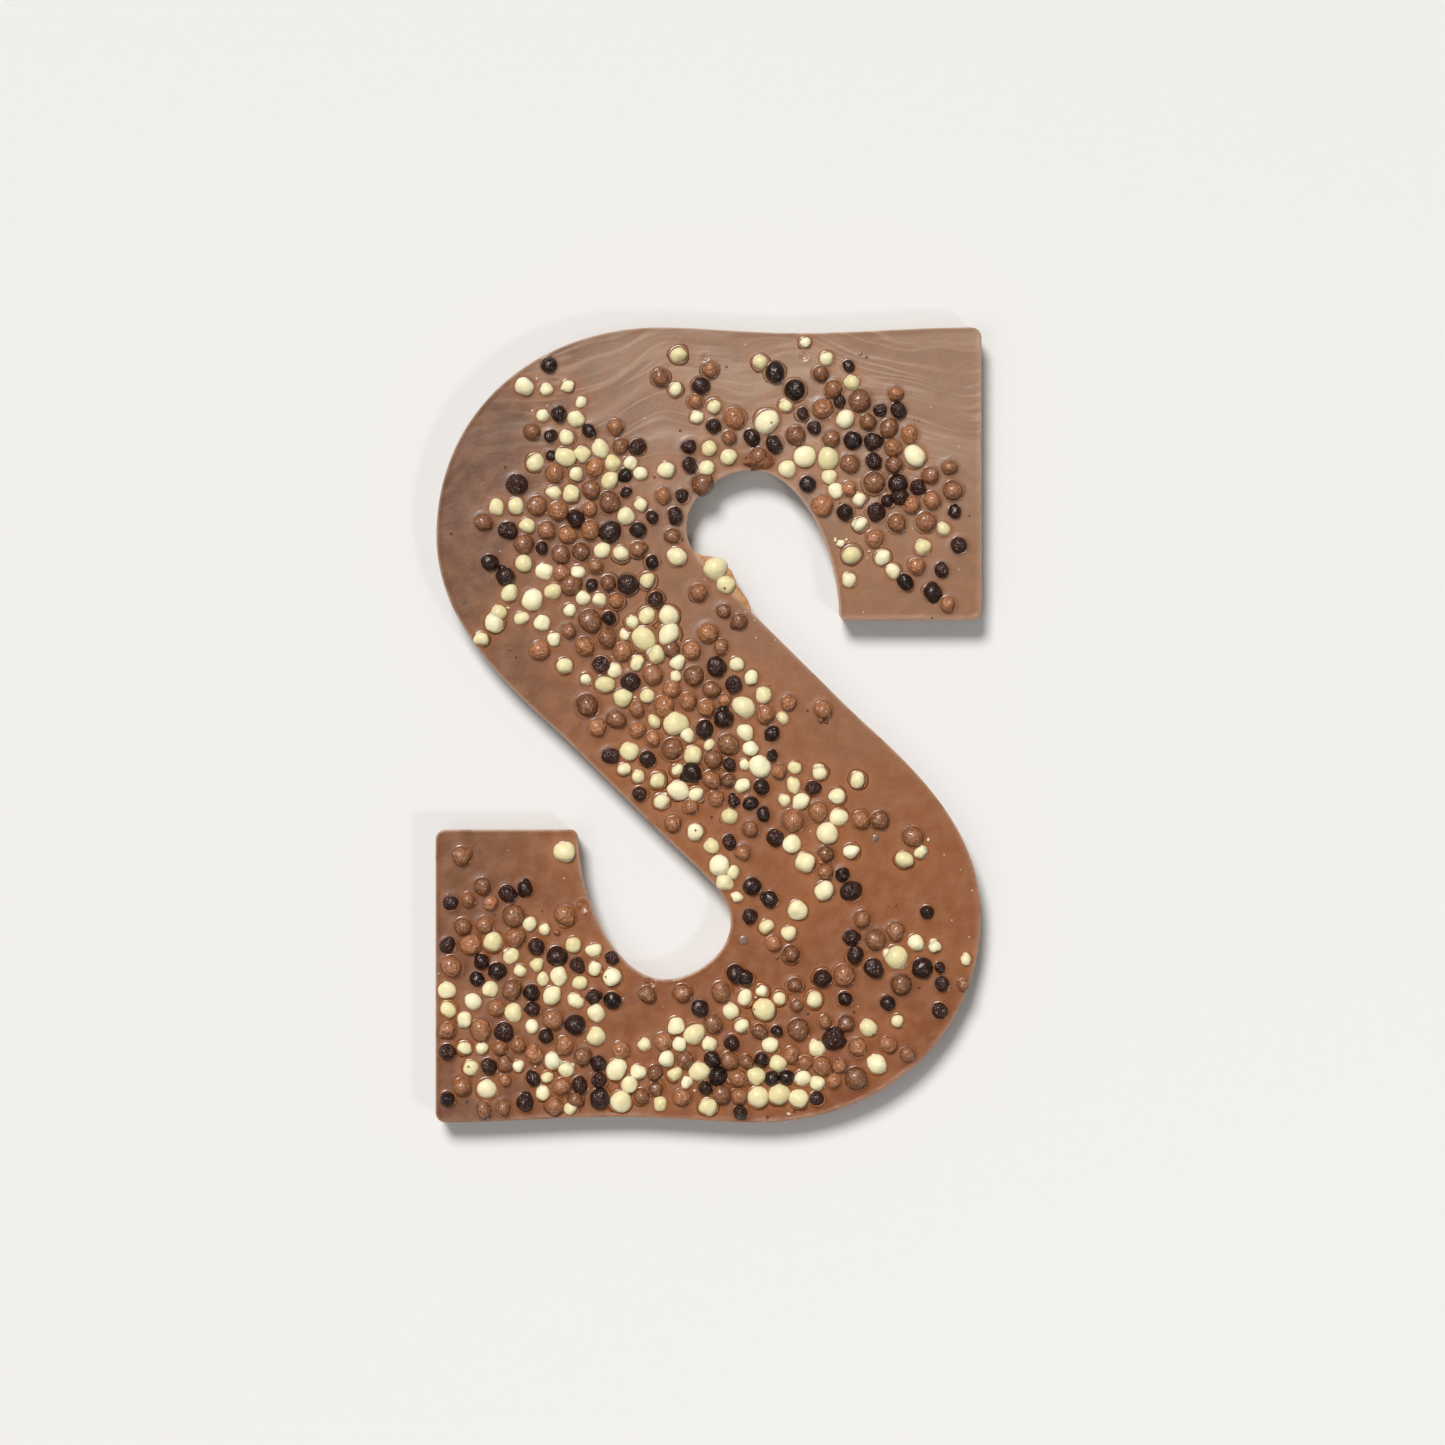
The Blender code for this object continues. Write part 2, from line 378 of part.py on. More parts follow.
def main():
    for piece in list(bpy.data.objects):
        bpy.data.objects.remove(piece)
    letter = bpy.data.collections.new(NAME)
    pearls = bpy.data.collections.new("pearls")
    for collection in (letter, pearls):
        bpy.context.scene.collection.children.link(collection)

    outline = letter_outline()
    slab = add_slab(outline, letter)
    add_pearls(largest_pearls(outline), pearls)
    fuse(slab, pearls)
    slab.data.materials.clear()
    slab.data.materials.append(milk_chocolate())
    slab.data.shade_smooth()
    slab.data.set_sharp_from_angle(angle=SHARP_EDGE)


main()
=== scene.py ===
"""The looks of a milk chocolate letter S that was poured in a mould and strewn with crisp pearls.

Lengths that shape the letter are in millimetres, as in its solid, and become metres in the meshes. Those
of the panel, the lights and the places in the materials are in metres.
"""

import math
import random

import bmesh
import bpy
import numpy as np
from bpy.props import FloatProperty, FloatVectorProperty, PointerProperty
from mathutils import Matrix, Vector, noise
from mathutils.geometry import interpolate_bezier, intersect_point_line
from mathutils.kdtree import KDTree


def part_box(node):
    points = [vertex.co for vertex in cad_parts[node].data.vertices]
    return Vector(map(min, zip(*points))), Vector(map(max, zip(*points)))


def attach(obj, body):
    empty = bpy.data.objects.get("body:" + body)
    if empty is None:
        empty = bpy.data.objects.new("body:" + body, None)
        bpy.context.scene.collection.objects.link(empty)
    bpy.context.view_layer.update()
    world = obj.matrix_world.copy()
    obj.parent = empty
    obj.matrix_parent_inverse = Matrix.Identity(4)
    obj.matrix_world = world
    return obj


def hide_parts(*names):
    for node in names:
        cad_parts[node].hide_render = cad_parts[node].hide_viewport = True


bl_info = {
    "name": "Chocolate letter with crisp pearls",
    "version": (1, 0, 0),
    "blender": (4, 5, 0),
    "location": "View3D > Sidebar > Letter",
    "description": "Pours a chocolate letter S and strews crisp pearls over its face",
    "category": "Object",
}

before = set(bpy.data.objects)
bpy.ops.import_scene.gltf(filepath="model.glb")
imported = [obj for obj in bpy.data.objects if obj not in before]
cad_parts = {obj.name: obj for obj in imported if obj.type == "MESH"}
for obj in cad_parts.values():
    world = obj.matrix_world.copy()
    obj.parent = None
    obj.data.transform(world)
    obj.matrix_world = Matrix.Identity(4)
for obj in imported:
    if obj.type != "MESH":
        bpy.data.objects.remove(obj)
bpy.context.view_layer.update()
LOWEST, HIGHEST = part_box("chocolate_letter")
MM = 0.001

# The letter's outline, as in its solid
LETTER_WIDTH = 133.2
LETTER_HEIGHT = 194.0
THICKNESS = 8.0
CORNER_RADIUS = 2.4
INNER_CORNER_RADIUS = 1.9
FOOT_END_Y = 25.5
FOOT_INNER_X = 31.8
COUNTER_TOP = (10.2, 62.1)
COUNTER_SIDE = (-5.4, 48.0)
SLANT_START = (10.0, 28.0)
SLANT_END = (34.5, 3.8)
SLANT_HEADING = -44.3
BOWL_SIDE = (66.4, -46.0)
BOWL_FOOT_X = 12.0
DIP = (-22.0, 95.6)
QUARTER = 0.5523
OUTLINE_STEP = 1.0
ROUNDING_STEPS = 4
# Distances to the edge are measured to this many places on each stretch of the outline
OUTLINE_SPLIT = 4
# The block that carries the grid is this much wider than the letter
BLOCK_MARGIN = 4.0
# The grid lies this little under the slab's face, so that the two cut cleanly, in metres
FACE_SHAVE = 0.00002
# Points this far above the foot of the lip's rounding belong to the face, in metres
FACE_MARGIN = 0.00001

# The pearls, as in the solid
SEED = 7
PEARL_SIZES = (3.3, 4.3, 5.8)
EDGE_CLEARANCE = 0.4
CROWDING = 0.97
SETTLING_STEPS = 60
SETTLING_PUSH = 0.3
HIGHEST_TOP = 3.0
# The shallowest and deepest that a pearl's middle sinks, as shares of its radius
SINK = {"white": (0.15, 0.40), "milk": (0.0, 0.25), "dark": (0.05, 0.30)}
# Pearls that lie apart enough to be measured one by one: across, up and diameter. Each kind runs down the S
PLACED = {
    "white": (
        (-7.3, 90.2, 4.2), (-44.8, 82.4, 5.2), (-39.5, 81.7, 3.5), (-34.3, 82.6, 3.3), (-31.0, 78.6, 2.9),
        (-8.1, 81.7, 3.3), (-2.8, 74.9, 3.3), (-40.4, 75.3, 3.5), (-32.2, 74.5, 4.0), (-34.5, 69.9, 4.1),
        (-34.9, 65.4, 5.1), (-30.7, 65.9, 3.8), (-26.3, 67.3, 4.6), (-42.2, 64.0, 4.4), (-32.2, 61.2, 4.3),
        (-23.5, 63.7, 4.0), (-19.1, 63.9, 3.9), (-24.1, 59.5, 4.8), (-16.5, 61.2, 3.7), (-10.2, 62.2, 4.1),
        (-37.7, 56.5, 4.0), (-33.4, 56.2, 4.3), (-51.6, 53.0, 4.2), (-46.9, 53.5, 4.2), (-20.2, 50.9, 4.6),
        (-16.5, 53.7, 3.7), (-44.1, 48.5, 4.2), (-26.0, 42.6, 4.0), (-21.3, 41.7, 4.2), (-45.0, 39.4, 4.9),
        (-40.0, 37.4, 4.1), (-7.7, 41.0, 4.9), (-31.7, 37.1, 4.1), (-14.9, 35.1, 4.4), (1.4, 77.5, 4.1),
        (23.5, 93.2, 2.8), (12.7, 88.3, 3.8), (28.8, 89.2, 3.6), (35.0, 83.3, 3.8), (18.8, 77.8, 3.4),
        (14.4, 73.8, 6.2), (33.3, 74.5, 5.0), (0.2, 67.3, 4.8), (4.9, 65.2, 4.6), (23.5, 65.3, 5.5),
        (29.2, 64.9, 5.6), (50.2, 65.5, 5.6), (-0.4, 62.5, 4.2), (19.1, 62.3, 4.4), (29.5, 60.4, 3.6),
        (30.9, 57.0, 3.8), (36.7, 54.9, 3.6), (37.0, 48.9, 3.6), (57.3, 47.7, 3.5), (34.8, 41.5, 4.6),
        (52.1, 43.2, 4.1), (42.4, 40.8, 4.0), (44.9, 37.4, 3.8), (34.2, 35.4, 3.8), (1.6, 38.1, 5.9),
        (4.4, 34.2, 4.8), (-48.4, 32.1, 4.3), (-42.8, 30.3, 5.8), (-37.9, 32.5, 4.4), (-51.0, 27.2, 4.0),
        (-52.1, 25.0, 4.7), (-45.6, 25.9, 3.7), (-40.7, 24.9, 4.8), (-55.4, 21.0, 3.7), (-37.6, 20.9, 3.8),
        (-35.1, 14.5, 4.2), (-33.7, 27.9, 3.9), (-30.6, 30.9, 4.0), (-26.7, 30.5, 4.1), (-14.9, 26.6, 4.7),
        (-9.6, 26.6, 4.8), (-18.6, 25.0, 3.5), (-15.7, 21.0, 6.2), (-9.7, 22.0, 5.6), (-20.5, 21.9, 2.8),
        (-17.4, 15.0, 3.8), (-12.7, 17.1, 4.6), (-7.6, 15.2, 3.8), (-22.8, 13.3, 3.6), (6.8, 14.8, 3.8),
        (-8.0, 11.9, 3.2), (10.5, 11.6, 4.2), (-29.9, 11.2, 3.3), (-25.2, 10.0, 4.8), (-20.9, 6.6, 5.0),
        (-14.9, 7.0, 4.2), (13.3, 7.2, 4.6), (8.6, 4.3, 6.0), (18.1, 1.6, 3.4), (-13.3, 0.8, 3.4),
        (-7.9, 0.3, 5.8), (-5.1, -2.4, 4.2), (8.9, -1.8, 4.3), (0.2, -4.8, 2.9), (-3.7, -7.3, 4.6),
        (10.2, -5.8, 4.2), (-19.2, -6.5, 4.4), (8.9, -9.6, 3.0), (12.5, -10.2, 5.2), (21.0, -10.4, 3.4),
        (26.9, -11.7, 4.0), (-20.7, -10.8, 3.2), (-17.1, -12.6, 3.2), (-12.5, -13.5, 4.2),
        (-7.6, -11.0, 3.2), (8.3, -14.7, 4.3), (20.7, -14.6, 4.0), (-7.2, -15.9, 4.8), (-3.0, -17.0, 4.0),
        (18.5, -18.4, 3.5), (22.6, -18.6, 4.3), (31.2, -17.4, 4.2), (-11.5, -18.6, 4.1), (5.2, -22.3, 4.4),
        (31.7, -22.5, 4.3), (-3.2, -26.2, 4.4), (28.9, -26.4, 5.6), (20.2, -29.0, 4.2), (0.8, -29.5, 3.7),
        (36.4, -13.4, 4.1), (47.7, -32.7, 4.2), (51.7, -31.0, 3.2), (34.7, -30.8, 4.1), (23.6, -33.5, 5.2),
        (28.2, -40.4, 5.0), (21.7, -45.0, 4.9), (14.2, -49.2, 3.8), (19.5, -50.7, 3.8), (7.0, -42.0, 3.0),
        (2.7, -34.2, 5.4), (5.9, -35.8, 3.8), (3.9, -38.4, 4.2), (50.5, -53.0, 4.4), (55.1, -54.0, 3.6),
        (45.7, -56.7, 6.4), (62.7, -57.1, 3.0), (13.0, -64.8, 3.4), (8.9, -66.4, 4.3), (17.3, -66.5, 3.6),
        (25.7, -66.9, 4.3), (5.5, -69.7, 3.9), (13.6, -69.4, 5.2), (46.0, -72.1, 3.7), (8.0, -73.3, 3.8),
        (39.0, -73.8, 4.3), (41.1, -82.7, 5.0), (0.2, -77.8, 3.6), (-7.1, -77.9, 3.6), (-15.6, -77.9, 3.6),
        (-35.1, -31.0, 5.0), (-43.5, -48.4, 3.8), (-39.9, -49.7, 3.2), (-52.5, -52.8, 5.0),
        (-33.0, -53.5, 4.2), (-27.8, -55.0, 3.9), (-48.0, -56.3, 4.1), (-41.8, -58.3, 3.8),
        (-45.8, -59.9, 3.5), (-27.8, -59.4, 3.5), (-23.4, -61.3, 4.4), (-36.5, -61.2, 4.6),
        (-40.3, -61.8, 3.6), (-31.5, -62.8, 4.0), (-53.2, -64.5, 3.8), (-38.1, -65.9, 4.9),
        (-63.8, -64.7, 4.2), (-57.3, -67.4, 4.4), (-32.4, -67.2, 4.2), (-63.5, -69.2, 4.2),
        (-47.5, -70.2, 4.4), (-27.4, -70.1, 4.8), (-59.3, -71.8, 3.8), (-42.9, -73.5, 3.5),
        (-27.4, -75.9, 4.6), (-59.5, -78.7, 3.6), (-55.2, -78.7, 3.6), (-38.0, -81.8, 4.2),
        (-46.3, -83.0, 2.9), (-57.8, -83.5, 4.0), (-34.5, -83.9, 3.9), (-39.3, -85.8, 3.0),
        (-53.9, -88.5, 5.4), (-40.4, -89.6, 3.7), (-33.5, -93.2, 3.6),
    ),
    "milk": (
        (0.3, 86.5, 4.2), (-11.7, 84.6, 4.5), (-3.3, 78.8, 3.8), (-22.7, 72.5, 4.3), (-43.0, 71.5, 3.9),
        (-21.4, 67.9, 4.2), (-37.5, 61.4, 4.9), (-27.7, 62.6, 4.8), (-28.7, 57.3, 4.5), (-11.1, 55.9, 4.1),
        (-41.8, 53.4, 5.2), (-36.6, 52.2, 4.8), (-24.1, 54.2, 6.0), (-28.8, 52.5, 4.2), (-54.9, 49.4, 4.5),
        (-39.5, 47.4, 4.8), (-34.4, 46.3, 5.0), (-28.9, 47.4, 5.2), (-8.8, 46.0, 4.0), (-45.0, 44.1, 4.9),
        (-36.0, 41.6, 4.8), (-31.0, 42.2, 4.9), (-17.2, 42.8, 4.2), (-27.6, 38.6, 3.6), (-35.9, 37.0, 4.0),
        (-33.5, 34.0, 6.0), (-24.4, 34.6, 4.3), (6.3, 74.7, 5.6), (5.0, 70.0, 3.9), (12.1, 65.5, 4.7),
        (-1.4, 58.7, 6.2), (27.3, 85.5, 4.3), (30.5, 81.8, 4.8), (27.9, 77.0, 5.4), (36.9, 78.9, 6.3),
        (45.5, 80.8, 4.0), (38.8, 73.8, 4.2), (21.2, 70.5, 4.7), (43.9, 72.3, 4.9), (48.9, 70.8, 4.7),
        (29.9, 69.7, 4.6), (44.9, 67.5, 4.7), (34.4, 63.7, 4.9), (45.1, 63.4, 4.6), (58.6, 62.7, 4.2),
        (54.0, 60.8, 4.5), (40.4, 59.0, 5.8), (59.5, 57.1, 5.3), (34.2, 57.7, 3.8), (54.5, 54.8, 4.8),
        (27.6, 53.4, 5.2), (49.4, 53.6, 4.3), (45.9, 49.2, 5.0), (52.9, 49.5, 5.2), (40.5, 45.4, 4.7),
        (50.6, 38.7, 4.1), (58.2, 29.4, 4.2), (-2.4, 32.3, 4.6), (3.7, 27.7, 3.9), (7.4, 25.2, 4.0),
        (-0.2, 22.3, 5.2), (-22.5, 30.2, 4.2), (-28.9, 25.3, 6.1), (-34.1, 22.9, 4.1), (-24.6, 21.2, 5.1),
        (-30.1, 19.1, 5.2), (-20.9, 17.9, 4.8), (-41.1, 18.3, 4.8), (-9.0, 18.4, 4.2), (-4.1, 18.1, 5.2),
        (3.0, 19.1, 4.0), (-13.7, 12.3, 4.9), (-3.5, 11.9, 5.5), (-9.0, 8.8, 4.2), (0.7, 8.6, 4.6),
        (-29.5, 4.7, 6.2), (-10.8, 4.5, 5.6), (-5.1, 5.8, 4.6), (3.9, 6.0, 3.5), (-0.6, 4.1, 4.4),
        (-17.5, 3.9, 4.2), (19.5, 5.4, 3.9), (27.8, 3.7, 4.4), (13.8, 2.5, 4.7), (-22.5, 1.4, 4.9),
        (-27.1, -0.6, 4.6), (-17.4, -1.2, 4.1), (-13.5, -3.3, 4.0), (4.8, -4.8, 5.6), (-8.8, -5.9, 5.8),
        (1.2, -8.4, 4.9), (17.1, -11.3, 4.0), (0.7, -13.4, 5.0), (4.8, -13.6, 3.8), (1.9, -17.9, 4.3),
        (-4.4, -19.9, 3.8), (26.7, -21.2, 5.4), (20.6, -23.4, 6.2), (-8.6, -24.1, 3.9), (10.2, -25.3, 4.3),
        (8.3, -31.1, 4.2), (28.6, -31.5, 4.6), (37.0, -23.0, 4.3), (41.7, -23.1, 4.6), (49.7, -27.2, 5.4),
        (28.4, -35.7, 4.2), (15.8, -53.1, 3.9), (20.1, -55.8, 4.6), (37.5, -47.3, 4.6), (45.5, -50.2, 4.6),
        (40.6, -52.3, 5.8), (62.0, -63.3, 3.2), (33.0, -61.0, 5.6), (47.0, -63.3, 6.0), (3.0, -64.9, 5.2),
        (21.0, -63.4, 4.0), (21.6, -68.4, 3.4), (1.0, -72.7, 4.7), (12.4, -74.7, 4.2), (21.9, -74.2, 5.7),
        (28.4, -72.3, 3.5), (33.5, -72.8, 4.4), (36.4, -78.6, 5.2), (43.7, -77.8, 4.2), (48.3, -80.2, 4.0),
        (36.0, -86.1, 6.0), (-15.0, -65.6, 4.4), (-6.3, -65.3, 4.8), (-60.2, -31.9, 4.9),
        (-55.1, -39.3, 4.6), (-58.6, -42.5, 3.8), (-53.1, -43.4, 3.6), (-47.6, -46.5, 6.0),
        (-34.9, -46.5, 5.4), (-59.8, -49.1, 4.7), (-54.5, -48.6, 4.5), (-47.1, -51.7, 5.2),
        (-57.9, -53.5, 5.0), (-62.6, -58.8, 5.8), (-47.9, -64.5, 5.2), (-51.7, -69.0, 4.8),
        (-37.9, -71.8, 5.2), (-55.5, -74.3, 5.8), (-63.6, -74.3, 3.9), (-35.0, -78.0, 4.8),
        (-46.3, -77.9, 4.2), (-50.8, -78.7, 3.8), (-42.5, -80.3, 4.8), (-49.7, -82.6, 4.0),
        (-30.6, -80.7, 4.4), (-49.6, -86.5, 3.4), (-60.0, -88.1, 4.6), (-35.7, -88.1, 4.6),
        (-54.8, -93.6, 4.2), (-50.0, -93.2, 4.2), (-32.4, -91.2, 3.8), (-37.4, -92.8, 4.2),
    ),
    "dark": (
        (-38.9, 87.7, 4.1), (-1.9, 82.6, 4.2), (-36.4, 75.7, 4.0), (-38.5, 70.3, 3.4), (-29.0, 71.5, 3.6),
        (-38.4, 65.6, 3.0), (-17.3, 67.7, 4.2), (-4.8, 67.7, 4.3), (-4.6, 63.4, 4.0), (-46.6, 58.6, 5.2),
        (-20.3, 60.8, 3.8), (-20.1, 56.8, 2.9), (-6.5, 55.8, 3.9), (-32.3, 50.1, 5.4), (-13.7, 50.6, 3.7),
        (-8.2, 51.1, 4.3), (-48.9, 47.4, 4.5), (-24.0, 47.0, 5.9), (-17.1, 47.6, 4.0), (-40.5, 43.1, 3.7),
        (-53.3, 39.6, 4.4), (-49.6, 36.3, 4.6), (-13.7, 39.7, 3.7), (-19.6, 34.2, 4.9), (-28.5, 34.0, 3.3),
        (1.2, 72.8, 4.1), (10.6, 70.1, 4.4), (15.9, 68.4, 4.6), (16.1, 85.8, 5.0), (21.0, 81.6, 5.5),
        (34.1, 87.4, 3.1), (22.9, 75.8, 3.4), (31.8, 78.9, 3.6), (41.9, 76.7, 3.4), (46.1, 76.7, 4.2),
        (25.7, 72.4, 3.9), (35.1, 69.2, 4.9), (40.0, 69.0, 4.4), (40.2, 64.2, 4.2), (24.1, 58.7, 4.3),
        (46.1, 58.6, 5.2), (46.6, 55.6, 4.6), (51.1, 57.9, 4.4), (43.6, 54.6, 3.6), (33.2, 51.7, 4.3),
        (40.9, 51.8, 5.2), (59.8, 51.9, 3.3), (61.0, 43.8, 4.5), (56.7, 37.7, 3.9), (47.9, 34.8, 4.2),
        (54.5, 32.5, 4.5), (-12.9, 30.6, 3.9), (-24.2, 26.0, 3.9), (-26.2, 14.8, 4.3), (1.9, 14.1, 5.2),
        (-18.9, 10.5, 5.0), (6.1, 9.8, 4.4), (3.6, 1.6, 4.9), (-0.9, -1.0, 4.8), (15.4, -2.1, 4.2),
        (-24.0, -7.5, 4.3), (-14.9, -8.3, 4.3), (15.5, -7.5, 3.2), (5.1, -9.6, 3.6), (-4.1, -11.6, 5.2),
        (12.9, -15.2, 4.4), (25.3, -15.3, 3.7), (-16.8, -16.7, 3.8), (6.2, -18.6, 3.3), (10.3, -19.0, 4.1),
        (13.4, -21.8, 4.2), (16.2, -27.5, 4.7), (5.0, -28.5, 3.9), (32.6, -36.5, 3.9), (34.7, -40.4, 5.6),
        (10.6, -39.3, 4.6), (14.9, -42.4, 4.3), (10.1, -46.7, 3.8), (34.8, -51.7, 4.2), (53.2, -45.5, 3.4),
        (35.7, -56.0, 4.6), (40.2, -59.2, 5.0), (52.0, -59.2, 5.0), (56.3, -59.1, 3.2), (56.9, -63.1, 4.0),
        (27.7, -61.7, 4.6), (6.6, -60.6, 5.0), (9.0, -61.6, 4.0), (-2.2, -68.9, 4.1), (33.2, -66.7, 4.0),
        (43.6, -67.7, 4.4), (56.3, -69.6, 4.5), (16.7, -74.6, 3.3), (30.5, -76.3, 5.6), (5.7, -77.4, 4.4),
        (-62.8, -43.3, 4.2), (-49.0, -41.1, 4.6), (-44.6, -39.7, 4.0), (-63.5, -53.7, 4.0),
        (-41.9, -54.0, 4.6), (-36.9, -56.4, 5.4), (-32.0, -58.3, 4.3), (-55.2, -57.6, 4.0),
        (-51.5, -60.0, 4.6), (-23.5, -56.9, 3.3), (-56.3, -61.9, 3.7), (-43.1, -65.2, 4.6),
        (-27.9, -66.1, 3.9), (-23.5, -67.1, 4.6), (-42.9, -69.2, 3.9), (-32.4, -73.1, 5.0),
        (-49.8, -74.7, 4.9), (-39.5, -75.9, 4.2), (-63.7, -79.6, 4.2), (-53.5, -83.2, 4.6),
        (-42.7, -86.1, 3.9), (-31.4, -87.7, 4.4), (-44.7, -92.0, 4.8), (-63.6, -91.0, 4.0),
    ),
}
# Patches that are strewn by chance, one a row: middle, half width, half height, and pearls of each kind
PATCHES = (
    (-16, -87, 13, 8, 7, 5, 4),
    (0, -85, 8, 9, 5, 5, 3),
    (16, -86, 12, 8, 8, 6, 4),
    (29, -88, 5, 6, 2, 2, 1),
)
MEASURED = sum(len(pearls) for pearls in PLACED.values())
# The coating makes a pearl a little wider than its ball in the solid, and lifts it by a share of its radius
COATING = 1.05
LIFT = 0.22
# How oval and how lumpy each kind of pearl is, how fine the lumps are, how many flat sides it has and how
# far out these lie, how many have a small one stuck to them, and how high the chocolate creeps up on them
PEARL_FORMS = {
    "white": {
        "oval": 0.14, "lump": 0.30, "detail": 1.2, "sides": 5, "flat": 0.86, "twins": 0.05, "collar": 0.18},
    "milk": {
        "oval": 0.10, "lump": 0.24, "detail": 1.7, "sides": 4, "flat": 0.90, "twins": 0.06, "collar": 0.28},
    "dark": {
        "oval": 0.14, "lump": 0.32, "detail": 1.6, "sides": 5, "flat": 0.87, "twins": 0.14, "collar": 0.28},
}
CRUMB_FORM = {"oval": 0.3, "lump": 0.4, "detail": 1.6, "sides": 3, "flat": 0.7}
# The small one that is stuck to a pearl: how far out and how big, as shares of the pearl's radius, and how
# deep, as a share of how far out
TWIN_REACH = 0.6
TWIN_SIZE = 0.62
TWIN_SINK = 0.15
# Pearls of this radius are as lumpy as their form says, and smaller ones are lumpier, up to a limit
EVEN_RADIUS = 2.2
MOST_UNEVEN = 1.5
# Pearls are a little lower than wide, and but for their lumps stay this far under the solid's highest point
FLATTENING = 0.97
HEADROOM = 0.05
# Chips of broken pearls that were measured: place and size
CHIPS = {
    "white": (
        (32.4, 44.3, 1.9), (30.9, 45.0, 1.1), (33.6, 45.1, 0.9), (-51.8, 22.7, 0.6), (53.0, -30.2, 0.8),
    ),
    "milk": (
        (-46.9, 16.5, 0.6), (-48.5, 18.3, 0.5), (-27.1, 6.4, 0.5), (27.2, 1.5, 1.6), (28.6, 0.8, 1.2),
        (-37.0, -50.6, 1.6), (-40.6, -45.2, 0.7), (9.2, -32.0, 1.1), (45.6, -44.0, 0.6),
    ),
}
# More chips are thrown by chance, so far from their pearl. None lies nearer to the edge than the clearance
CHIPS_BY_CHANCE = 26
CHIP_SIZES = (0.35, 0.9)
CHIP_THROW = (0.3, 3.0)
CHIP_CLEARANCE = 1.0
# How far a chip's middle lies above the face, as a share of its size
CHIP_RISE = 0.1

# Waves in the face, from slow to fine: their length, their place in the noise and their share
WAVES = ((26, 3.1, 1.0), (8, 7.7, 0.55), (3, 1.3, 0.12))
# In from the edge: where the waves start and are full, the crest of the lip, and the width of the pale rim, a
# painted highlight along the lip
WAVES_START = (0.3, 1.8)
LIP_LINE = 0.45
RIM_WIDTH = 0.35
# The swell of the face round a pearl: its height as a share of the ring's, how that varies, how far out it
# is worked out, and where it fades towards the edge
SWELL_SHARE = 0.7
SWELL_SPREAD = (0.5, 1.3)
SWELL_REACH = 4.0
SWELL_FADE = (0.0, 0.8)
# The painted shade in a thin line at a pearl's foot, and the glow round a white one
FOOT_SHADE_WIDTH = 0.35
HALO_WIDTH = 1.1
# Bubbles that broke open on the face: place and size
BROKEN_BUBBLES = (
    (-0.9, 89.5, 1.1), (23.2, 89.8, 1.4), (-30.4, -44.2, 1.7), (-14.2, -62.6, 1.5), (11.4, 70.4, 1.1),
    (43.0, -90.0, 1.3),
)
# Their raised rim and their pit, and where the pit's wall lies, with widths as shares of their size
CRATER_RIM = 0.16
CRATER_RIM_WIDTH = 0.22
CRATER_DEPTH = 0.4
CRATER_WALL = (0.3, 0.95)
# Air bubbles that set as small domes: place and size
AIR_BUBBLES = (
    (8.5, -52.4, 1.25), (40.6, -27.5, 0.95), (37.0, 90.4, 0.5), (-20.6, -67.0, 0.7), (16.0, -39.0, 0.6),
)
DOME_SIDES = 24
DOME_RINGS = 12
DOME_FLATNESS = 0.35
DOME_SINK = 0.05

# A ring of chocolate round a pearl: how far out from the pearl, and how high as a share of its rise
COLLAR_SECTION = ((-0.35, -0.5), (-0.3, 0.85), (-0.08, 1.0), (0.12, 0.45), (0.55, -0.25))
COLLAR_SIDES = 16
# How its rise varies from pearl to pearl, and how much and how often it swells on its way round
COLLAR_SPREAD = (0.6, 1.3)
COLLAR_SWELL = 0.8
COLLAR_LUMPS = 1.3
# A ring is kept inland where its pearl's side lies this near to the edge, and stays so far in from it
COLLAR_REACH = 1.5
COLLAR_INLAND = 0.3
# Where a ring would hang past the edge it is tucked in its pearl: how far out, how deep and how small
TUCK_OUT = 0.6
TUCK_DEPTH = 0.4
TUCK_SHRINK = 0.1
# The thin film on the slant of the upper opening, as its outline
FILM = ((-4.2, 42.6), (-1.5, 41.3), (2.0, 40.9), (5.6, 37.6), (7.2, 33.8), (9.6, 30.4), (10.5, 27.7),
        (9.0, 27.6), (5.0, 31.5), (0.5, 36.0), (-3.6, 40.2))
FILM_THICKNESS = 0.6
FILM_SINK = 0.12
FILM_ROUNDING = 0.2
# The thin, glossy chocolate that hangs from a pearl to the opening's edge: place, half width, half height
# and rise, and how much of its width is left at the top
DRAPE = (12.3, 64.1, 4.7, 2.5, 1.5)
DRAPE_TOP = 0.34
DRAPE_SIDES = 7
DRAPE_SINK = 0.2
DRAPE_ROUNDING = 0.1
# The slab has the drape's colour round it: how much taller than the drape, and how sharply it ends
THIN_SPREAD = 1.3
THIN_FALL = 6

# Tones that are mixed into the colours of the panel. The slab, from its painted sheen and painted shade to
# its smallest marks:
# Painted shade: the painted sheen as it is at the left, where less light falls
SHADED_PAINTED_SHEEN = (0.165, 0.078, 0.044, 1)
DEEP_MILK = (0.168, 0.038, 0.004, 1)
# Painted shade at the left of the letter
SHADED_MILK = (0.080, 0.032, 0.013, 1)
PALE_MOTTLE = (0.38, 0.165, 0.07, 1)
SOFT_CLOUD = (0.22, 0.075, 0.026, 1)
WARM_GLOW = (0.42, 0.145, 0.036, 1)
# Painted shade in a thin line at a pearl's foot
PAINTED_FOOT_SHADE = (0.12, 0.040, 0.014, 1)
THIN_MILK = (0.20, 0.055, 0.014, 1)
# Painted highlight along the lip of the edge
PAINTED_RIM_HIGHLIGHT = (0.62, 0.44, 0.31, 1)
PALE_SPECK = (0.66, 0.50, 0.38, 1)
PINHOLE = (0.07, 0.03, 0.018, 1)
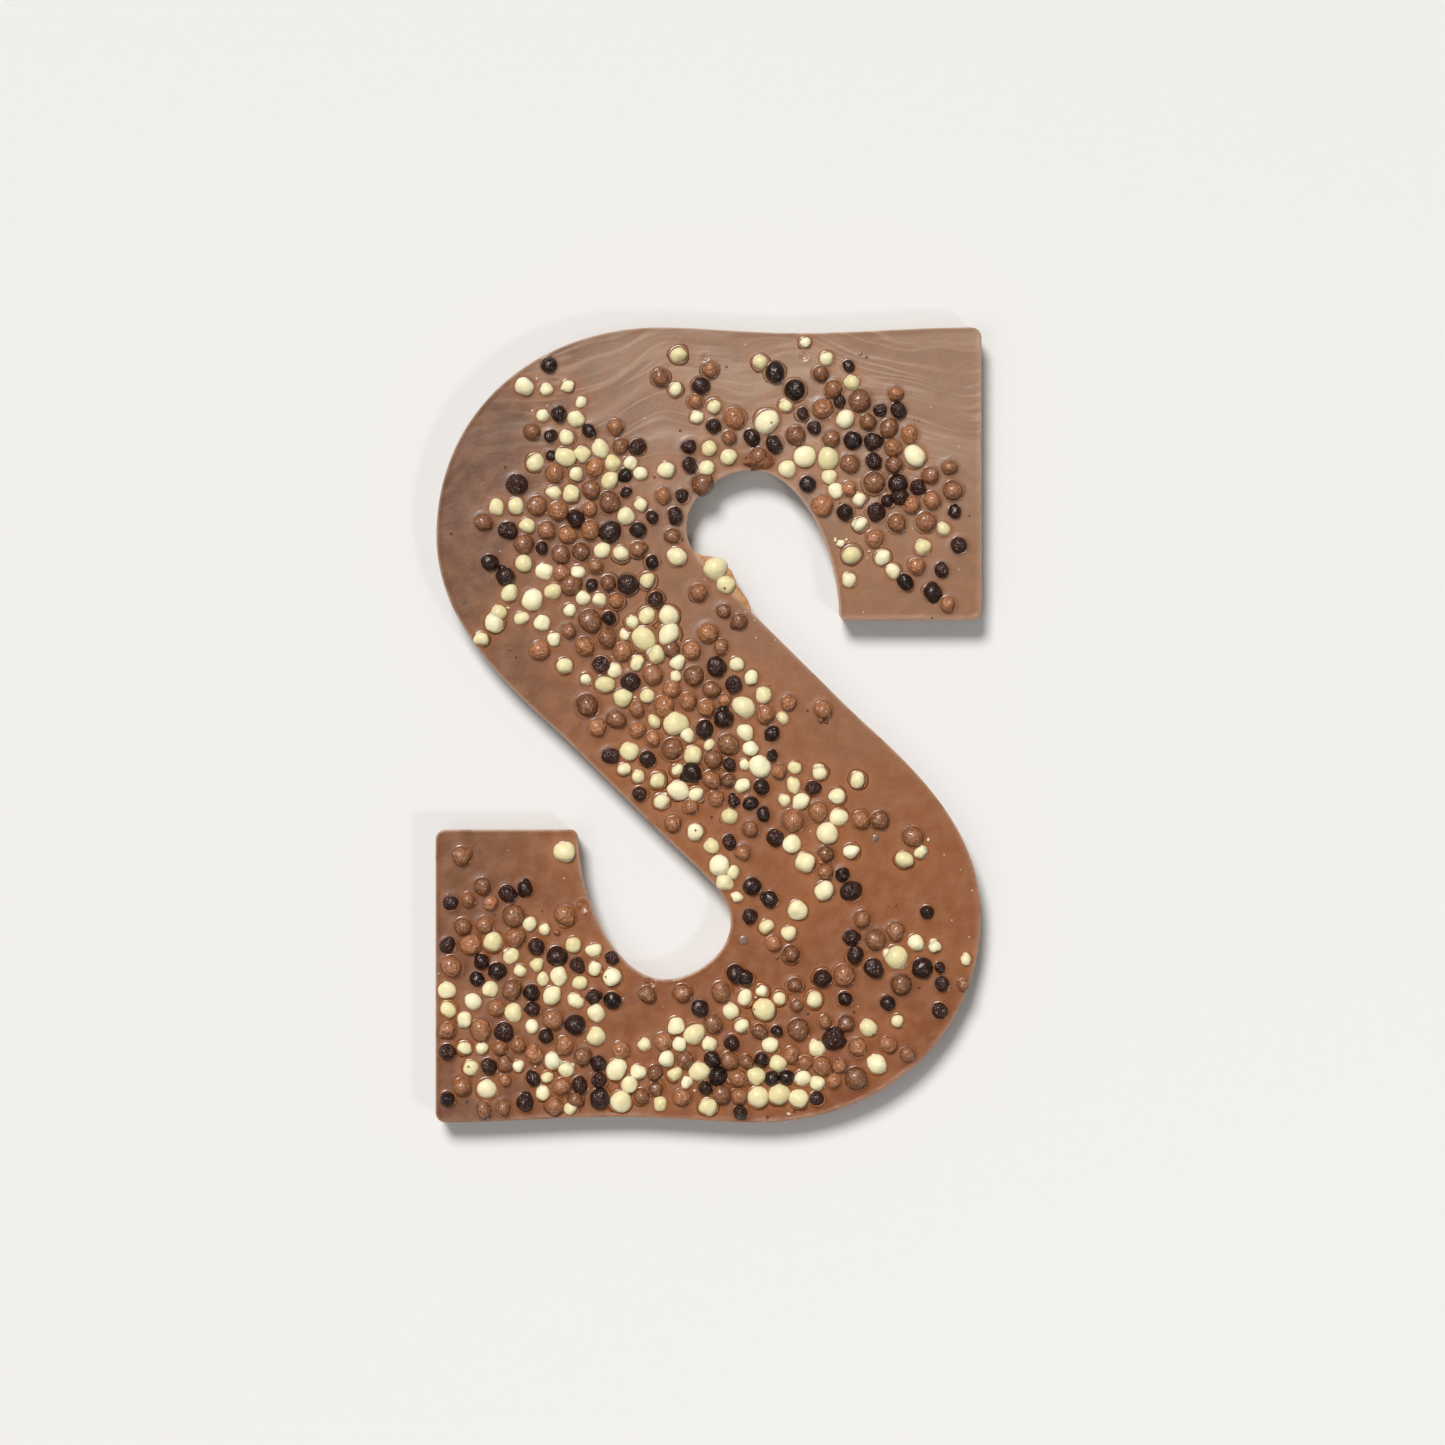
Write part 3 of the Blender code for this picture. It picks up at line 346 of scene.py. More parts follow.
# What crept, hangs or covers air. A pair goes from dark to light
CREPT_LIGHT = (0.36, 0.14, 0.05, 1)
DRAPE_TONES = (0.10, 0.026, 0.008, 1), (0.28, 0.11, 0.045, 1)
SKIN_TONES = (0.16, 0.085, 0.06, 1), (0.27, 0.165, 0.12, 1)
FILM_TONES = (0.40, 0.17, 0.06, 1), (0.55, 0.30, 0.14, 1)
# The pearls
DEEP_CREAM = (0.76, 0.67, 0.37, 1)
CREAM_CLOUD = (0.80, 0.66, 0.35, 1)
# Painted warm shade on a white pearl's low part
PAINTED_SHADE_CREAM = (0.80, 0.52, 0.24, 1)
CREAM_PIT = (0.13, 0.075, 0.03, 1)
DEEP_COPPER = (0.10, 0.031, 0.011, 1)
# Painted light on a milk pearl's top, and painted shade on its low part
PAINTED_LIGHT_COPPER = (0.42, 0.17, 0.068, 1)
PAINTED_SHADE_COPPER = (0.07, 0.022, 0.008, 1)
# The grain of a milk pearl: pale on its crests, partly its own tone and partly painted glints, and dark in
# its hollows, partly painted shade
BRIGHT_GRAIN_AND_GLINT = (0.54, 0.25, 0.115, 1)
DARK_GRAIN_AND_SHADE = (0.085, 0.028, 0.012, 1)
WARM_DARK = (0.040, 0.014, 0.010, 1)
PALE_DARK = (0.060, 0.025, 0.019, 1)

# The floor and the lights, in metres
FLOOR_REACH = 3.0
FLOOR_ROUGHNESS = 0.7
KEY_PLACE = (-0.55, 1.25, 1.90)
SIDE_PLACE = (0.90, -0.70, 1.20)
SIDE_SIZE = (0.25, 0.18)
FILL_PLACE = (-0.70, -0.40, 1.60)
FILL_SIZE = (1.20, 1.20)

# The camera looks straight down, as far off as a photograph of a pack is taken
PHOTO_WIDTH = 352.0
PHOTO_CENTRE = (3.4, 0.6)
CAMERA_HEIGHT = 1000.0
SENSOR_WIDTH = 36.0


class LetterSizes(bpy.types.PropertyGroup):
    """Sizes of the slab and of the relief on its face."""

    draft: FloatProperty(
        name="Draft", description="How far the wall leans in towards the back",
        default=0.0005, min=0, max=0.002, unit="LENGTH")
    back_rounding: FloatProperty(
        name="Back rounding", description="Radius of the edge round the back",
        default=0.0011, min=0.0002, max=0.0015, unit="LENGTH")
    lip_rounding: FloatProperty(
        name="Lip rounding", description="Radius of the edge round the face",
        default=0.0004, min=0.0001, max=0.001, unit="LENGTH")
    cell: FloatProperty(
        name="Cell", description="Spacing of the points on the face",
        default=0.0005, min=0.0003, max=0.003, unit="LENGTH")
    lip_height: FloatProperty(
        name="Lip height", description="How high the chocolate crept up the mould's wall",
        default=0.00018, min=0, max=0.0006, unit="LENGTH")
    wave_height: FloatProperty(
        name="Wave height", description="Height of the slow waves in the poured face",
        default=0.00016, min=0, max=0.0006, unit="LENGTH")
    collar_width: FloatProperty(
        name="Collar width", description="How far the chocolate creeps out from a pearl",
        default=0.0005, min=0.0002, max=0.002, unit="LENGTH")


class LetterColours(bpy.types.PropertyGroup):
    """Colours of the chocolate and of the pearls."""

    milk_chocolate: FloatVectorProperty(
        name="Milk chocolate", description="The poured chocolate", subtype="COLOR", size=4,
        default=(0.250, 0.076, 0.015, 1), min=0, max=1)
    # Painted reflection: this paler, greyer haze stands for the sheen of a light above the top of the letter,
    # paler at the right
    painted_sheen: FloatVectorProperty(
        name="Painted sheen", description="The paler, greyer haze at the top of the letter", subtype="COLOR", size=4,
        default=(0.28, 0.160, 0.097, 1), min=0, max=1)
    streaks: FloatVectorProperty(
        name="Streaks", description="Pale streaks where the chocolate flowed", subtype="COLOR", size=4,
        default=(0.50, 0.35, 0.25, 1), min=0, max=1)
    white_pearl: FloatVectorProperty(
        name="White pearl", description="White chocolate on the pearls", subtype="COLOR", size=4,
        default=(0.94, 0.87, 0.62, 1), min=0, max=1)
    milk_pearl: FloatVectorProperty(
        name="Milk pearl", description="Milk chocolate on the pearls", subtype="COLOR", size=4,
        default=(0.44, 0.17, 0.068, 1), min=0, max=1)
    dark_pearl: FloatVectorProperty(
        name="Dark pearl", description="Dark chocolate on the pearls", subtype="COLOR", size=4,
        default=(0.010, 0.005, 0.004, 1), min=0, max=1)


class StageLooks(bpy.types.PropertyGroup):
    """The floor and the lights."""

    floor: FloatVectorProperty(
        name="Floor", description="Colour of the floor", subtype="COLOR", size=4,
        default=(0.78, 0.765, 0.74, 1), min=0, max=1)
    key: FloatProperty(
        name="Key light", description="Strength of the broad light from the top left",
        default=3.0, min=0, max=50)
    softness: FloatProperty(
        name="Key softness", description="How wide the key light looks from the letter",
        default=math.radians(20), min=0, max=math.radians(90), unit="ROTATION")
    side: FloatProperty(
        name="Side light", description="Strength of the soft light at the lower right",
        default=3.5, min=0, max=500, unit="POWER")
    fill: FloatProperty(
        name="Fill light", description="Strength of the wide light beside the camera",
        default=4.5, min=0, max=500, unit="POWER")
    sky: FloatProperty(
        name="Sky", description="Strength of the even light from all round",
        default=0.15, min=0, max=3)


class Term:
    """A shader socket that takes part in sums, so that plain expressions add the Math nodes."""

    def __init__(self, finish, socket):
        self.finish = finish
        self.socket = socket

    def reckon(self, operation, *terms):
        return self.finish.node("ShaderNodeMath", {"operation": operation}, dict(enumerate(terms)))

    def __add__(self, other):
        return self.reckon("ADD", self, other)

    def __radd__(self, other):
        return self.reckon("ADD", other, self)

    def __sub__(self, other):
        return self.reckon("SUBTRACT", self, other)

    def __rsub__(self, other):
        return self.reckon("SUBTRACT", other, self)

    def __mul__(self, other):
        return self.reckon("MULTIPLY", self, other)

    def __rmul__(self, other):
        return self.reckon("MULTIPLY", other, self)

    def smooth(self, low, high):
        """From 0 at low to 1 at high, with soft ends."""
        settings = {"interpolation_type": "SMOOTHSTEP"}
        return self.finish.node("ShaderNodeMapRange", settings, {0: self, 1: low, 2: high, 3: 0.0, 4: 1.0})

    def size(self):
        """The value without its sign."""
        return self.reckon("ABSOLUTE", self)


class Finish:
    """A material under construction."""

    def __init__(self, name):
        self.material = bpy.data.materials.new(name)
        self.material.use_nodes = True
        self.tree = self.material.node_tree
        self.shader = self.tree.nodes["Principled BSDF"]

    def node(self, kind, settings, inputs, output=0):
        """Adds a node, sets it up and feeds it, and returns one of its outputs."""
        added = self.tree.nodes.new(kind)
        for name, value in settings.items():
            setattr(added, name, value)
        for key, value in inputs.items():
            self.feed(added.inputs[key], value)
        return Term(self, added.outputs[output])

    def feed(self, socket, value):
        if isinstance(value, Term):
            self.tree.links.new(value.socket, socket)
        else:
            socket.default_value = value

    def place(self):
        """Where a point of the piece lies, in metres."""
        return self.node("ShaderNodeTexCoord", {}, {}, "Object")

    def axis(self, place, name):
        return self.node("ShaderNodeSeparateXYZ", {}, {0: place}, name)

    def measure(self, name):
        """A value that the mesh holds at each point."""
        return self.node("ShaderNodeAttribute", {"attribute_name": name}, {}, "Fac")

    def grain(self, place, size, detail=2.0):
        """Cloudy noise whose clouds are about a size across, in millimetres."""
        inputs = {"Vector": place, "Scale": 1 / (size * MM), "Detail": detail}
        return self.node("ShaderNodeTexNoise", {}, inputs)

    def specks(self, place, spacing):
        """Distance to the nearest of scattered points, as a share of their spacing in millimetres."""
        inputs = {"Vector": place, "Scale": 1 / (spacing * MM)}
        return self.node("ShaderNodeTexVoronoi", {}, inputs, "Distance")

    def mix(self, share, first, second):
        """Goes from the first colour to the second."""
        return self.node("ShaderNodeMix", {"data_type": "RGBA"}, {0: share, 6: first, 7: second}, 2)

    def cover(self, colour, roughness, coat, coat_roughness):
        """A colour and a roughness, and over them a clear coat that is the same all over."""
        self.feed(self.shader.inputs["Base Color"], colour)
        self.feed(self.shader.inputs["Roughness"], roughness)
        self.shader.inputs["Coat Weight"].default_value = coat
        self.shader.inputs["Coat Roughness"].default_value = coat_roughness

    def bump(self, height, depth):
        """Raises the surface by a height between 0 and 1 times a depth in millimetres."""
        self.feed(self.shader.inputs["Normal"], self.node(
            "ShaderNodeBump", {}, {"Strength": 1.0, "Distance": depth * MM, "Height": height}))


def letter_outline():
    """The outline of the S, as places at about even steps. The lower half is the upper one, half turned."""
    right = LETTER_WIDTH / 2
    top = LETTER_HEIGHT / 2
    outer = CORNER_RADIUS
    inner = INNER_CORNER_RADIUS
    corner_pull = QUARTER * outer
    inner_pull = QUARTER * inner
    # Each knot: its place, its heading, and the pull before and after it
    knots = (
        (right - outer, top, 0, 15, corner_pull),
        (right, top - outer, -90, corner_pull, 0),
        (right, FOOT_END_Y + outer, -90, 0, corner_pull),
        (right - outer, FOOT_END_Y, 180, corner_pull, 0),
        (FOOT_INNER_X + inner, FOOT_END_Y, 180, 0, inner_pull),
        (FOOT_INNER_X, FOOT_END_Y + inner, 90, inner_pull, 13.1),
        (*COUNTER_TOP, 180, 13.4, 5.0),
        (*COUNTER_SIDE, -90, 9.0, 7.0),
        (*SLANT_START, SLANT_HEADING, 10.0, 0),
        (*SLANT_END, SLANT_HEADING, 0, 13.5),
        (*BOWL_SIDE, -90, 23.7, 31.5),
        (BOWL_FOOT_X, -top, 180, 29.0, 10.0),
        (DIP[0], -DIP[1], 180, 12.0, 15.0),
        (outer - right, -top, 180, 15.0, 0),
    )
    half = []
    for (x, y, heading, _, pull), (next_x, next_y, next_heading, next_pull, _) in zip(knots, knots[1:]):
        start = Vector((x, y))
        end = Vector((next_x, next_y))
        way = Vector((math.cos(math.radians(heading)), math.sin(math.radians(heading))))
        next_way = Vector((math.cos(math.radians(next_heading)), math.sin(math.radians(next_heading))))
        length = (end - start).length
        leave = start + way * (pull or length / 3)
        arrive = end - next_way * (next_pull or length / 3)
        half += interpolate_bezier(start, leave, arrive, end, max(4, round(length / OUTLINE_STEP)) + 1)[:-1]
    return half + [-place for place in half]


def depth_inside(place, outline):
    """How far a place lies inside the outline, or less than nothing outside it."""
    nearest = math.inf
    inside = False
    for first, second in zip(outline, outline[1:] + outline[:1]):
        foot, share = intersect_point_line(place, first, second)
        foot = first.lerp(second, min(max(share, 0.0), 1.0))
        nearest = min(nearest, (place - foot).length)
        if (first.y > place.y) != (second.y > place.y):
            crossing = first.x + (place.y - first.y) * (second.x - first.x) / (second.y - first.y)
            inside ^= place.x < crossing
    return nearest if inside else -nearest


def thrown_pearls():
    """The pearls as they are thrown: place, diameter and kind. The measured ones come first."""
    draw = random.Random(SEED)
    pearls = [(Vector((x, y)), diameter, kind) for kind in PLACED for x, y, diameter in PLACED[kind]]
    for x, y, half_width, half_height, white, milk, dark in PATCHES:
        for kind in ["white"] * white + ["milk"] * milk + ["dark"] * dark:
            reach = math.sqrt(draw.random())
            angle = draw.uniform(0, math.tau)
            offset = Vector((half_width * reach * math.cos(angle), half_height * reach * math.sin(angle)))
            smallest, usual, largest = PEARL_SIZES
            pearls.append((Vector((x, y)) + offset, draw.triangular(smallest, largest, usual), kind))
    return pearls


def settled_places(pearls):
    """Where the pearls end when those that overlap push each other aside. The measured ones stay put."""
    places = np.array([place[:] for place, _, _ in pearls])
    radii = np.array([diameter / 2 for _, diameter, _ in pearls])
    loose = np.arange(len(pearls)) >= MEASURED
    for _ in range(SETTLING_STEPS):
        apart = places[:, None] - places[None]
        distance = np.linalg.norm(apart, axis=2) + np.eye(len(pearls))
        overlap = np.clip((radii[:, None] + radii[None]) * CROWDING - distance, 0, None)
        np.fill_diagonal(overlap, 0)
        push = (apart * (overlap / distance)[..., None]).sum(axis=1)
        places[loose] += SETTLING_PUSH * push[loose]
    return [Vector(place) for place in places]


def strewn_pearls(outline):
    """The pearls as they lie: place, radius, kind and depth of their middle under the face."""
    draw = random.Random(SEED)
    thrown = thrown_pearls()
    pearls = []
    for number, (place, (_, diameter, kind)) in enumerate(zip(settled_places(thrown), thrown)):
        depth = draw.uniform(*SINK[kind]) * diameter / 2
        depth = max(depth, diameter / 2 - HIGHEST_TOP)
        if number < MEASURED or depth_inside(place, outline) > diameter / 2 + EDGE_CLEARANCE:
            radius = diameter / 2 * COATING
            pearls.append((place, radius, kind, depth - LIFT * radius))
    return pearls


OUTLINE = letter_outline()
PEARLS = strewn_pearls(OUTLINE)


def add_piece(name, mesh, material):
    """Puts a finished mesh in the scene, riding on the letter."""
    piece = bpy.data.objects.new(name, mesh)
    bpy.context.scene.collection.objects.link(piece)
    mesh.materials.clear()
    mesh.materials.append(material)
    mesh.shade_smooth()
    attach(piece, "root")
    return piece


def mesh_from(shape, name):
    """Turns a bmesh into a mesh."""
    mesh = bpy.data.meshes.new(name)
    shape.to_mesh(mesh)
    shape.free()
    return mesh


def step_in(shape, face, inwards, along):
    """Shrinks a face and moves it along its normal, which leaves a wall round it."""
    face.normal_update()
    bmesh.ops.inset_region(shape, faces=[face], thickness=inwards, depth=along, use_boundary=True,
                           use_even_offset=True)


def round_in(shape, face, radius):
    """Rounds the edge of a face by a quarter of a circle."""
    for step in range(ROUNDING_STEPS):
        before = math.pi / 2 * step / ROUNDING_STEPS
        after = math.pi / 2 * (step + 1) / ROUNDING_STEPS
        step_in(shape, face, radius * (math.cos(before) - math.cos(after)),
                radius * (math.sin(after) - math.sin(before)))


def slab_prism(sizes):
    """The slab with its drafted wall and its rounded edges, and one plain face on top."""
    fit = (HIGHEST.x - LOWEST.x) / (LETTER_WIDTH * MM)
    widest = THICKNESS * MM - sizes.lip_rounding
    shape = bmesh.new()
    rim = [shape.verts.new((*(place * fit * MM), widest)) for place in OUTLINE]
    back = shape.faces.new(rim)
    step_in(shape, back, sizes.draft, widest - sizes.back_rounding)
    round_in(shape, back, sizes.back_rounding)
    face = shape.faces.new(reversed(rim))
    round_in(shape, face, sizes.lip_rounding)
    bmesh.ops.recalc_face_normals(shape, faces=shape.faces)
    return mesh_from(shape, "prism")


def face_block(sizes):
    """A block that is wider than the letter, with a fine grid on top, level with the letter's face."""
    margin = BLOCK_MARGIN * MM
    width = HIGHEST.x - LOWEST.x + 2 * margin
    height = HIGHEST.y - LOWEST.y + 2 * margin
    block = bmesh.new()
    bmesh.ops.create_grid(block, x_segments=round(width / sizes.cell), y_segments=round(height / sizes.cell),
                          size=0.5)
    bmesh.ops.scale(block, vec=(width, height, 1), verts=block.verts)
    level = THICKNESS * MM - FACE_SHAVE
    bmesh.ops.translate(block, vec=(0, 0, level), verts=block.verts)
    border = [edge for edge in block.edges if edge.is_boundary]
    skirt = bmesh.ops.extrude_edge_only(block, edges=border)["geom"]
    lower = [part for part in skirt if isinstance(part, bmesh.types.BMVert)]
    bmesh.ops.translate(block, vec=(0, 0, -level - margin), verts=lower)
    bmesh.ops.holes_fill(block, edges=[edge for edge in block.edges if edge.is_boundary], sides=0)
    bmesh.ops.recalc_face_normals(block, faces=block.faces)
    return mesh_from(block, "block")


def slab_mesh(sizes):
    """The slab with a fine grid all over its face."""
    slab = bpy.data.objects.new("slab", face_block(sizes))
    prism = bpy.data.objects.new("prism", slab_prism(sizes))
    for piece in (slab, prism):
        bpy.context.scene.collection.objects.link(piece)
    cut = slab.modifiers.new("cut", "BOOLEAN")
    cut.operation = "INTERSECT"
    cut.object = prism
    cut.solver = "MANIFOLD"
    bpy.context.view_layer.update()
    mesh = bpy.data.meshes.new_from_object(slab.evaluated_get(bpy.context.evaluated_depsgraph_get()))
    for piece in (slab, prism):
        bpy.data.meshes.remove(piece.data)
    return mesh


def soft_step(values, low, high):
    """From 0 at low to 1 at high, with soft ends."""
    share = np.clip((values - low) / (high - low), 0, 1)
    return share * share * (3 - 2 * share)


def distance_to_edge(places):
    """How far each place lies from the outline."""
    finder = KDTree(len(OUTLINE) * OUTLINE_SPLIT)
    number = 0
    for first, second in zip(OUTLINE, OUTLINE[1:] + OUTLINE[:1]):
        for step in range(OUTLINE_SPLIT):
            finder.insert(first.lerp(second, step / OUTLINE_SPLIT).to_3d(), number)
            number += 1
    finder.balance()
    return np.array([finder.find((x, y, 0))[2] for x, y in places])


def waves(places):
    """The waves in the poured face, between about -1 and 1."""
    heights = []
    for x, y in places:
        heights.append(sum(share * noise.noise(Vector((x / length, y / length, where)))
                           for length, where, share in WAVES))
    return np.array(heights)


def marks_of_pearls(places, width):
    """What pearls do to the face round them: its swell, painted shade at their foot and the white ones' glow.
    """
    draw = random.Random(SEED)
    swell = np.zeros(len(places))
    foot_shade = np.zeros(len(places))
    halo = np.zeros(len(places))
    for place, radius, kind, depth in PEARLS:
        contact = math.sqrt(radius ** 2 - depth ** 2)
        rise = SWELL_SHARE * PEARL_FORMS[kind]["collar"] * draw.uniform(*SWELL_SPREAD)
        away = np.hypot(places[:, 0] - place.x, places[:, 1] - place.y) - contact
        near = away < SWELL_REACH
        away = np.clip(away[near], 0, None)
        swell[near] = np.maximum(swell[near], rise * np.exp(-away / width))
        # Painted shade in a thin line at the pearl's foot
        foot_shade[near] = np.maximum(foot_shade[near], np.exp(-(away / FOOT_SHADE_WIDTH) ** 2))
        if kind == "white":
            halo[near] = np.maximum(halo[near], np.exp(-away / HALO_WIDTH))
    return swell, foot_shade, halo


def craters(places):
    """How high the face stands at the bubbles that broke open."""
    height = np.zeros(len(places))
    for x, y, size in BROKEN_BUBBLES:
        away = np.hypot(places[:, 0] - x, places[:, 1] - y) / size
        height += CRATER_RIM * np.exp(-((away - 1) / CRATER_RIM_WIDTH) ** 2)
        height -= CRATER_DEPTH * (1 - soft_step(away, *CRATER_WALL))
    return height


def thin_part(places):
    """Where the slab takes the drape's deep red tone."""
    x, y, half_width, half_height, _ = DRAPE
    across = (places[:, 0] - x) / half_width
    along = (places[:, 1] - y) / half_height / THIN_SPREAD
    return np.exp(-np.hypot(across, along) ** THIN_FALL)


def pour_face(mesh, sizes):
    """Shapes the face, and holds at each point what the material needs to know of it."""
    points = np.empty(len(mesh.vertices) * 3)
    mesh.vertices.foreach_get("co", points)
    points = points.reshape(-1, 3)
    on_top = points[:, 2] > THICKNESS * MM - sizes.lip_rounding + FACE_MARGIN
    places = points[on_top, :2] / MM
    edge = distance_to_edge(places)
    lip = np.exp(-((edge - LIP_LINE) / LIP_LINE) ** 2)
    swell, foot_shade, halo = marks_of_pearls(places, sizes.collar_width / MM)
    height = sizes.wave_height / MM * waves(places) * soft_step(edge, *WAVES_START)
    height += sizes.lip_height / MM * lip
    height += swell * soft_step(edge, *SWELL_FADE)
    height += craters(places)
    points[on_top, 2] += height * MM
    mesh.vertices.foreach_set("co", points.ravel())
    # Painted marks among these: the rim is a painted highlight along the lip, and the line at the pearls'
    # feet is painted shade
    marks = {"rim": np.exp(-(edge / RIM_WIDTH) ** 2), "halo": halo, "foot_shade": foot_shade, "thin": thin_part(places)}
    for name, values in marks.items():
        held = np.zeros(len(points))
        held[on_top] = values
        mesh.attributes.new(name, "FLOAT", "POINT").data.foreach_set("value", held)
    mesh.update()


def painted_sheen_colour(finish, across, colours):
    """The painted sheen at the top of the letter, a painted reflection, darker at the left as painted shade.
    """
    return finish.mix(across.smooth(-0.075, 0.03), SHADED_PAINTED_SHEEN, tuple(colours.painted_sheen))


def slab_colour_with_painted_light(finish, across, along, cloud, colours):
    """The slab's colour with painted light: a painted sheen at the top, painted shade at the left, and deeper
    at the foot.
    """
    high = (along + 0.05 * (cloud - 0.5)).smooth(-0.035, 0.082)
    # Painted reflection: the sheen at the top
    colour = finish.mix(high, tuple(colours.milk_chocolate), painted_sheen_colour(finish, across, colours))
    colour = finish.mix(0.6 * (1 - along.smooth(-0.09, -0.03)), colour, DEEP_MILK)
    # Painted shade at the left
    return finish.mix(0.5 * (1 - across.smooth(-0.066, -0.015)), colour, SHADED_MILK)


def marbled(finish, colour, across, along, cloud, on_face, colours):
    """Wavy pale lines that sag across the top of the letter, where the chocolate flowed."""
    streaks = tuple(colours.streaks)
    bend = finish.grain(finish.place(), 30, 1) - 0.5
    bow = along + 3.0 * (across - 0.012) * (across - 0.012) + 0.022 * bend
    drawn_out = finish.node("ShaderNodeCombineXYZ", {}, {0: across * 0.10, 1: bow, 2: 0.0})
    lines = 1 - (finish.grain(drawn_out, 4.0, 2) - 0.5).size().smooth(0.0, 0.06)
    bands = finish.grain(drawn_out, 9.0, 4).smooth(0.42, 0.7)
    plain_left = 0.25 + 0.75 * (across + 0.02 * bend).smooth(-0.052, -0.026)
    where_drawn = (along + 0.02 * bend).smooth(0.04, 0.07) * plain_left * on_face
    from_pale_spot = (across + 0.018) * (across + 0.018) + (along - 0.080) * (along - 0.080)
    pale = (1 - from_pale_spot.smooth(0.0, 0.00035)) * on_face
    colour = finish.mix(pale * 0.15 + bands * where_drawn * 0.42, colour, streaks)
    return finish.mix(lines * where_drawn * cloud.smooth(0.3, 0.6) * 0.6, colour, streaks)


def poured_chocolate(colours):
    """Milk chocolate with a painted sheen at the top, painted shade at the left and at the pearls' feet, pale
    flow lines, a painted highlight along the rim, fine specks and pinholes.
    """
    finish = Finish("poured milk chocolate")
    place = finish.place()
    across = finish.axis(place, "X")
    along = finish.axis(place, "Y")
    on_face = finish.axis(place, "Z").smooth(0.0072, 0.0078)
    cloud = finish.grain(place, 24, 3)
    mottle = finish.grain(place, 4.0, 3)
    colour = slab_colour_with_painted_light(finish, across, along, cloud, colours)
    colour = marbled(finish, colour, across, along, cloud, on_face, colours)
    colour = finish.mix(mottle.smooth(0.35, 0.7) * 0.3, colour, PALE_MOTTLE)
    colour = finish.mix(cloud.smooth(0.4, 0.7) * 0.2, colour, SOFT_CLOUD)
    colour = finish.mix(finish.measure("halo") * 0.45, colour, WARM_GLOW)
    # Painted shade at the pearls' feet
    colour = finish.mix(finish.measure("foot_shade") * 0.5, colour, PAINTED_FOOT_SHADE)
    thin = finish.measure("thin")
    colour = finish.mix(thin * 0.9, colour, THIN_MILK)
    broken = finish.grain(place, 6.0, 2).smooth(0.2, 0.5)
    # Painted highlight along the lip, broken up by grain
    colour = finish.mix(finish.measure("rim") * broken * 0.75, colour, PAINTED_RIM_HIGHLIGHT)
    pale_speck = on_face * (1 - finish.specks(place, 5.0).smooth(0.028, 0.055))
    colour = finish.mix(pale_speck * 0.8, colour, PALE_SPECK)
    pinhole = 1 - finish.specks(place, 9.0).smooth(0.028, 0.05)
    colour = finish.mix(pinhole * 0.8, colour, PINHOLE)
    finish.cover(colour, 0.26 + 0.14 * mottle + 0.08 * on_face - 0.15 * thin, 0.3, 0.13)
    fine = finish.grain(place, 1.1, 2)
    finish.bump(fine * 0.5 + mottle * 1.1 - pinhole * 2.0 + pale_speck * 0.6, 0.11)
    return finish.material


def crept_chocolate(colours):
    """The glossy chocolate that crept up on the pearls, with the painted sheen towards the top, darker at the
    left.
    """
    finish = Finish("crept milk chocolate")
    place = finish.place()
    across = finish.axis(place, "X")
    along = finish.axis(place, "Y")
    mottle = finish.grain(place, 2.5, 2)
    # Painted reflection: the sheen towards the top, with painted shade at the left
    haze = painted_sheen_colour(finish, across, colours)
    colour = finish.mix(along.smooth(-0.05, 0.08) * 0.8, tuple(colours.milk_chocolate), haze)
    colour = finish.mix(mottle.smooth(0.3, 0.7) * 0.3, colour, CREPT_LIGHT)
    finish.cover(colour, 0.26 + 0.12 * mottle, 0.35, 0.12)
    finish.bump(mottle, 0.06)
    return finish.material


def glossy_drape():
    """Thin, wet-looking chocolate, deep red brown."""
    finish = Finish("draped milk chocolate")
    cloud = finish.grain(finish.place(), 1.6, 2)
    colour = finish.mix(cloud.smooth(0.35, 0.65), *DRAPE_TONES)
    finish.cover(colour, 0.16 + 0.1 * cloud, 0.6, 0.06)
    finish.bump(cloud, 0.2)
    return finish.material


def caught_air():
    """A thin grey skin over a bubble."""
    finish = Finish("skin over air")
    grain = finish.grain(finish.place(), 0.7, 2)
    colour = finish.mix(grain.smooth(0.3, 0.7), *SKIN_TONES)
    finish.cover(colour, 0.22 + 0.1 * grain, 0.2, 0.08)
    finish.bump(grain, 0.05)
    return finish.material


def thin_chocolate():
    """A film so thin that it looks like caramel."""
    finish = Finish("thin film of chocolate")
    cloud = finish.grain(finish.place(), 2.5, 3)
    colour = finish.mix(cloud.smooth(0.35, 0.65), *FILM_TONES)
    finish.cover(colour, 0.26 + 0.16 * cloud, 0.4, 0.12)
    finish.bump(cloud, 0.15)
    return finish.material


def ball_template():
    """A ball of a few dozen small faces, with room for a tone at each point."""
    ball = bmesh.new()
    ball.verts.layers.float.new("tone")
    bmesh.ops.create_icosphere(ball, subdivisions=2, radius=1)
    return mesh_from(ball, "ball")


def chance_way(draw):
    """A direction that is left to chance."""
    return Vector((draw.gauss(0, 1), draw.gauss(0, 1), draw.gauss(0, 1))).normalized()


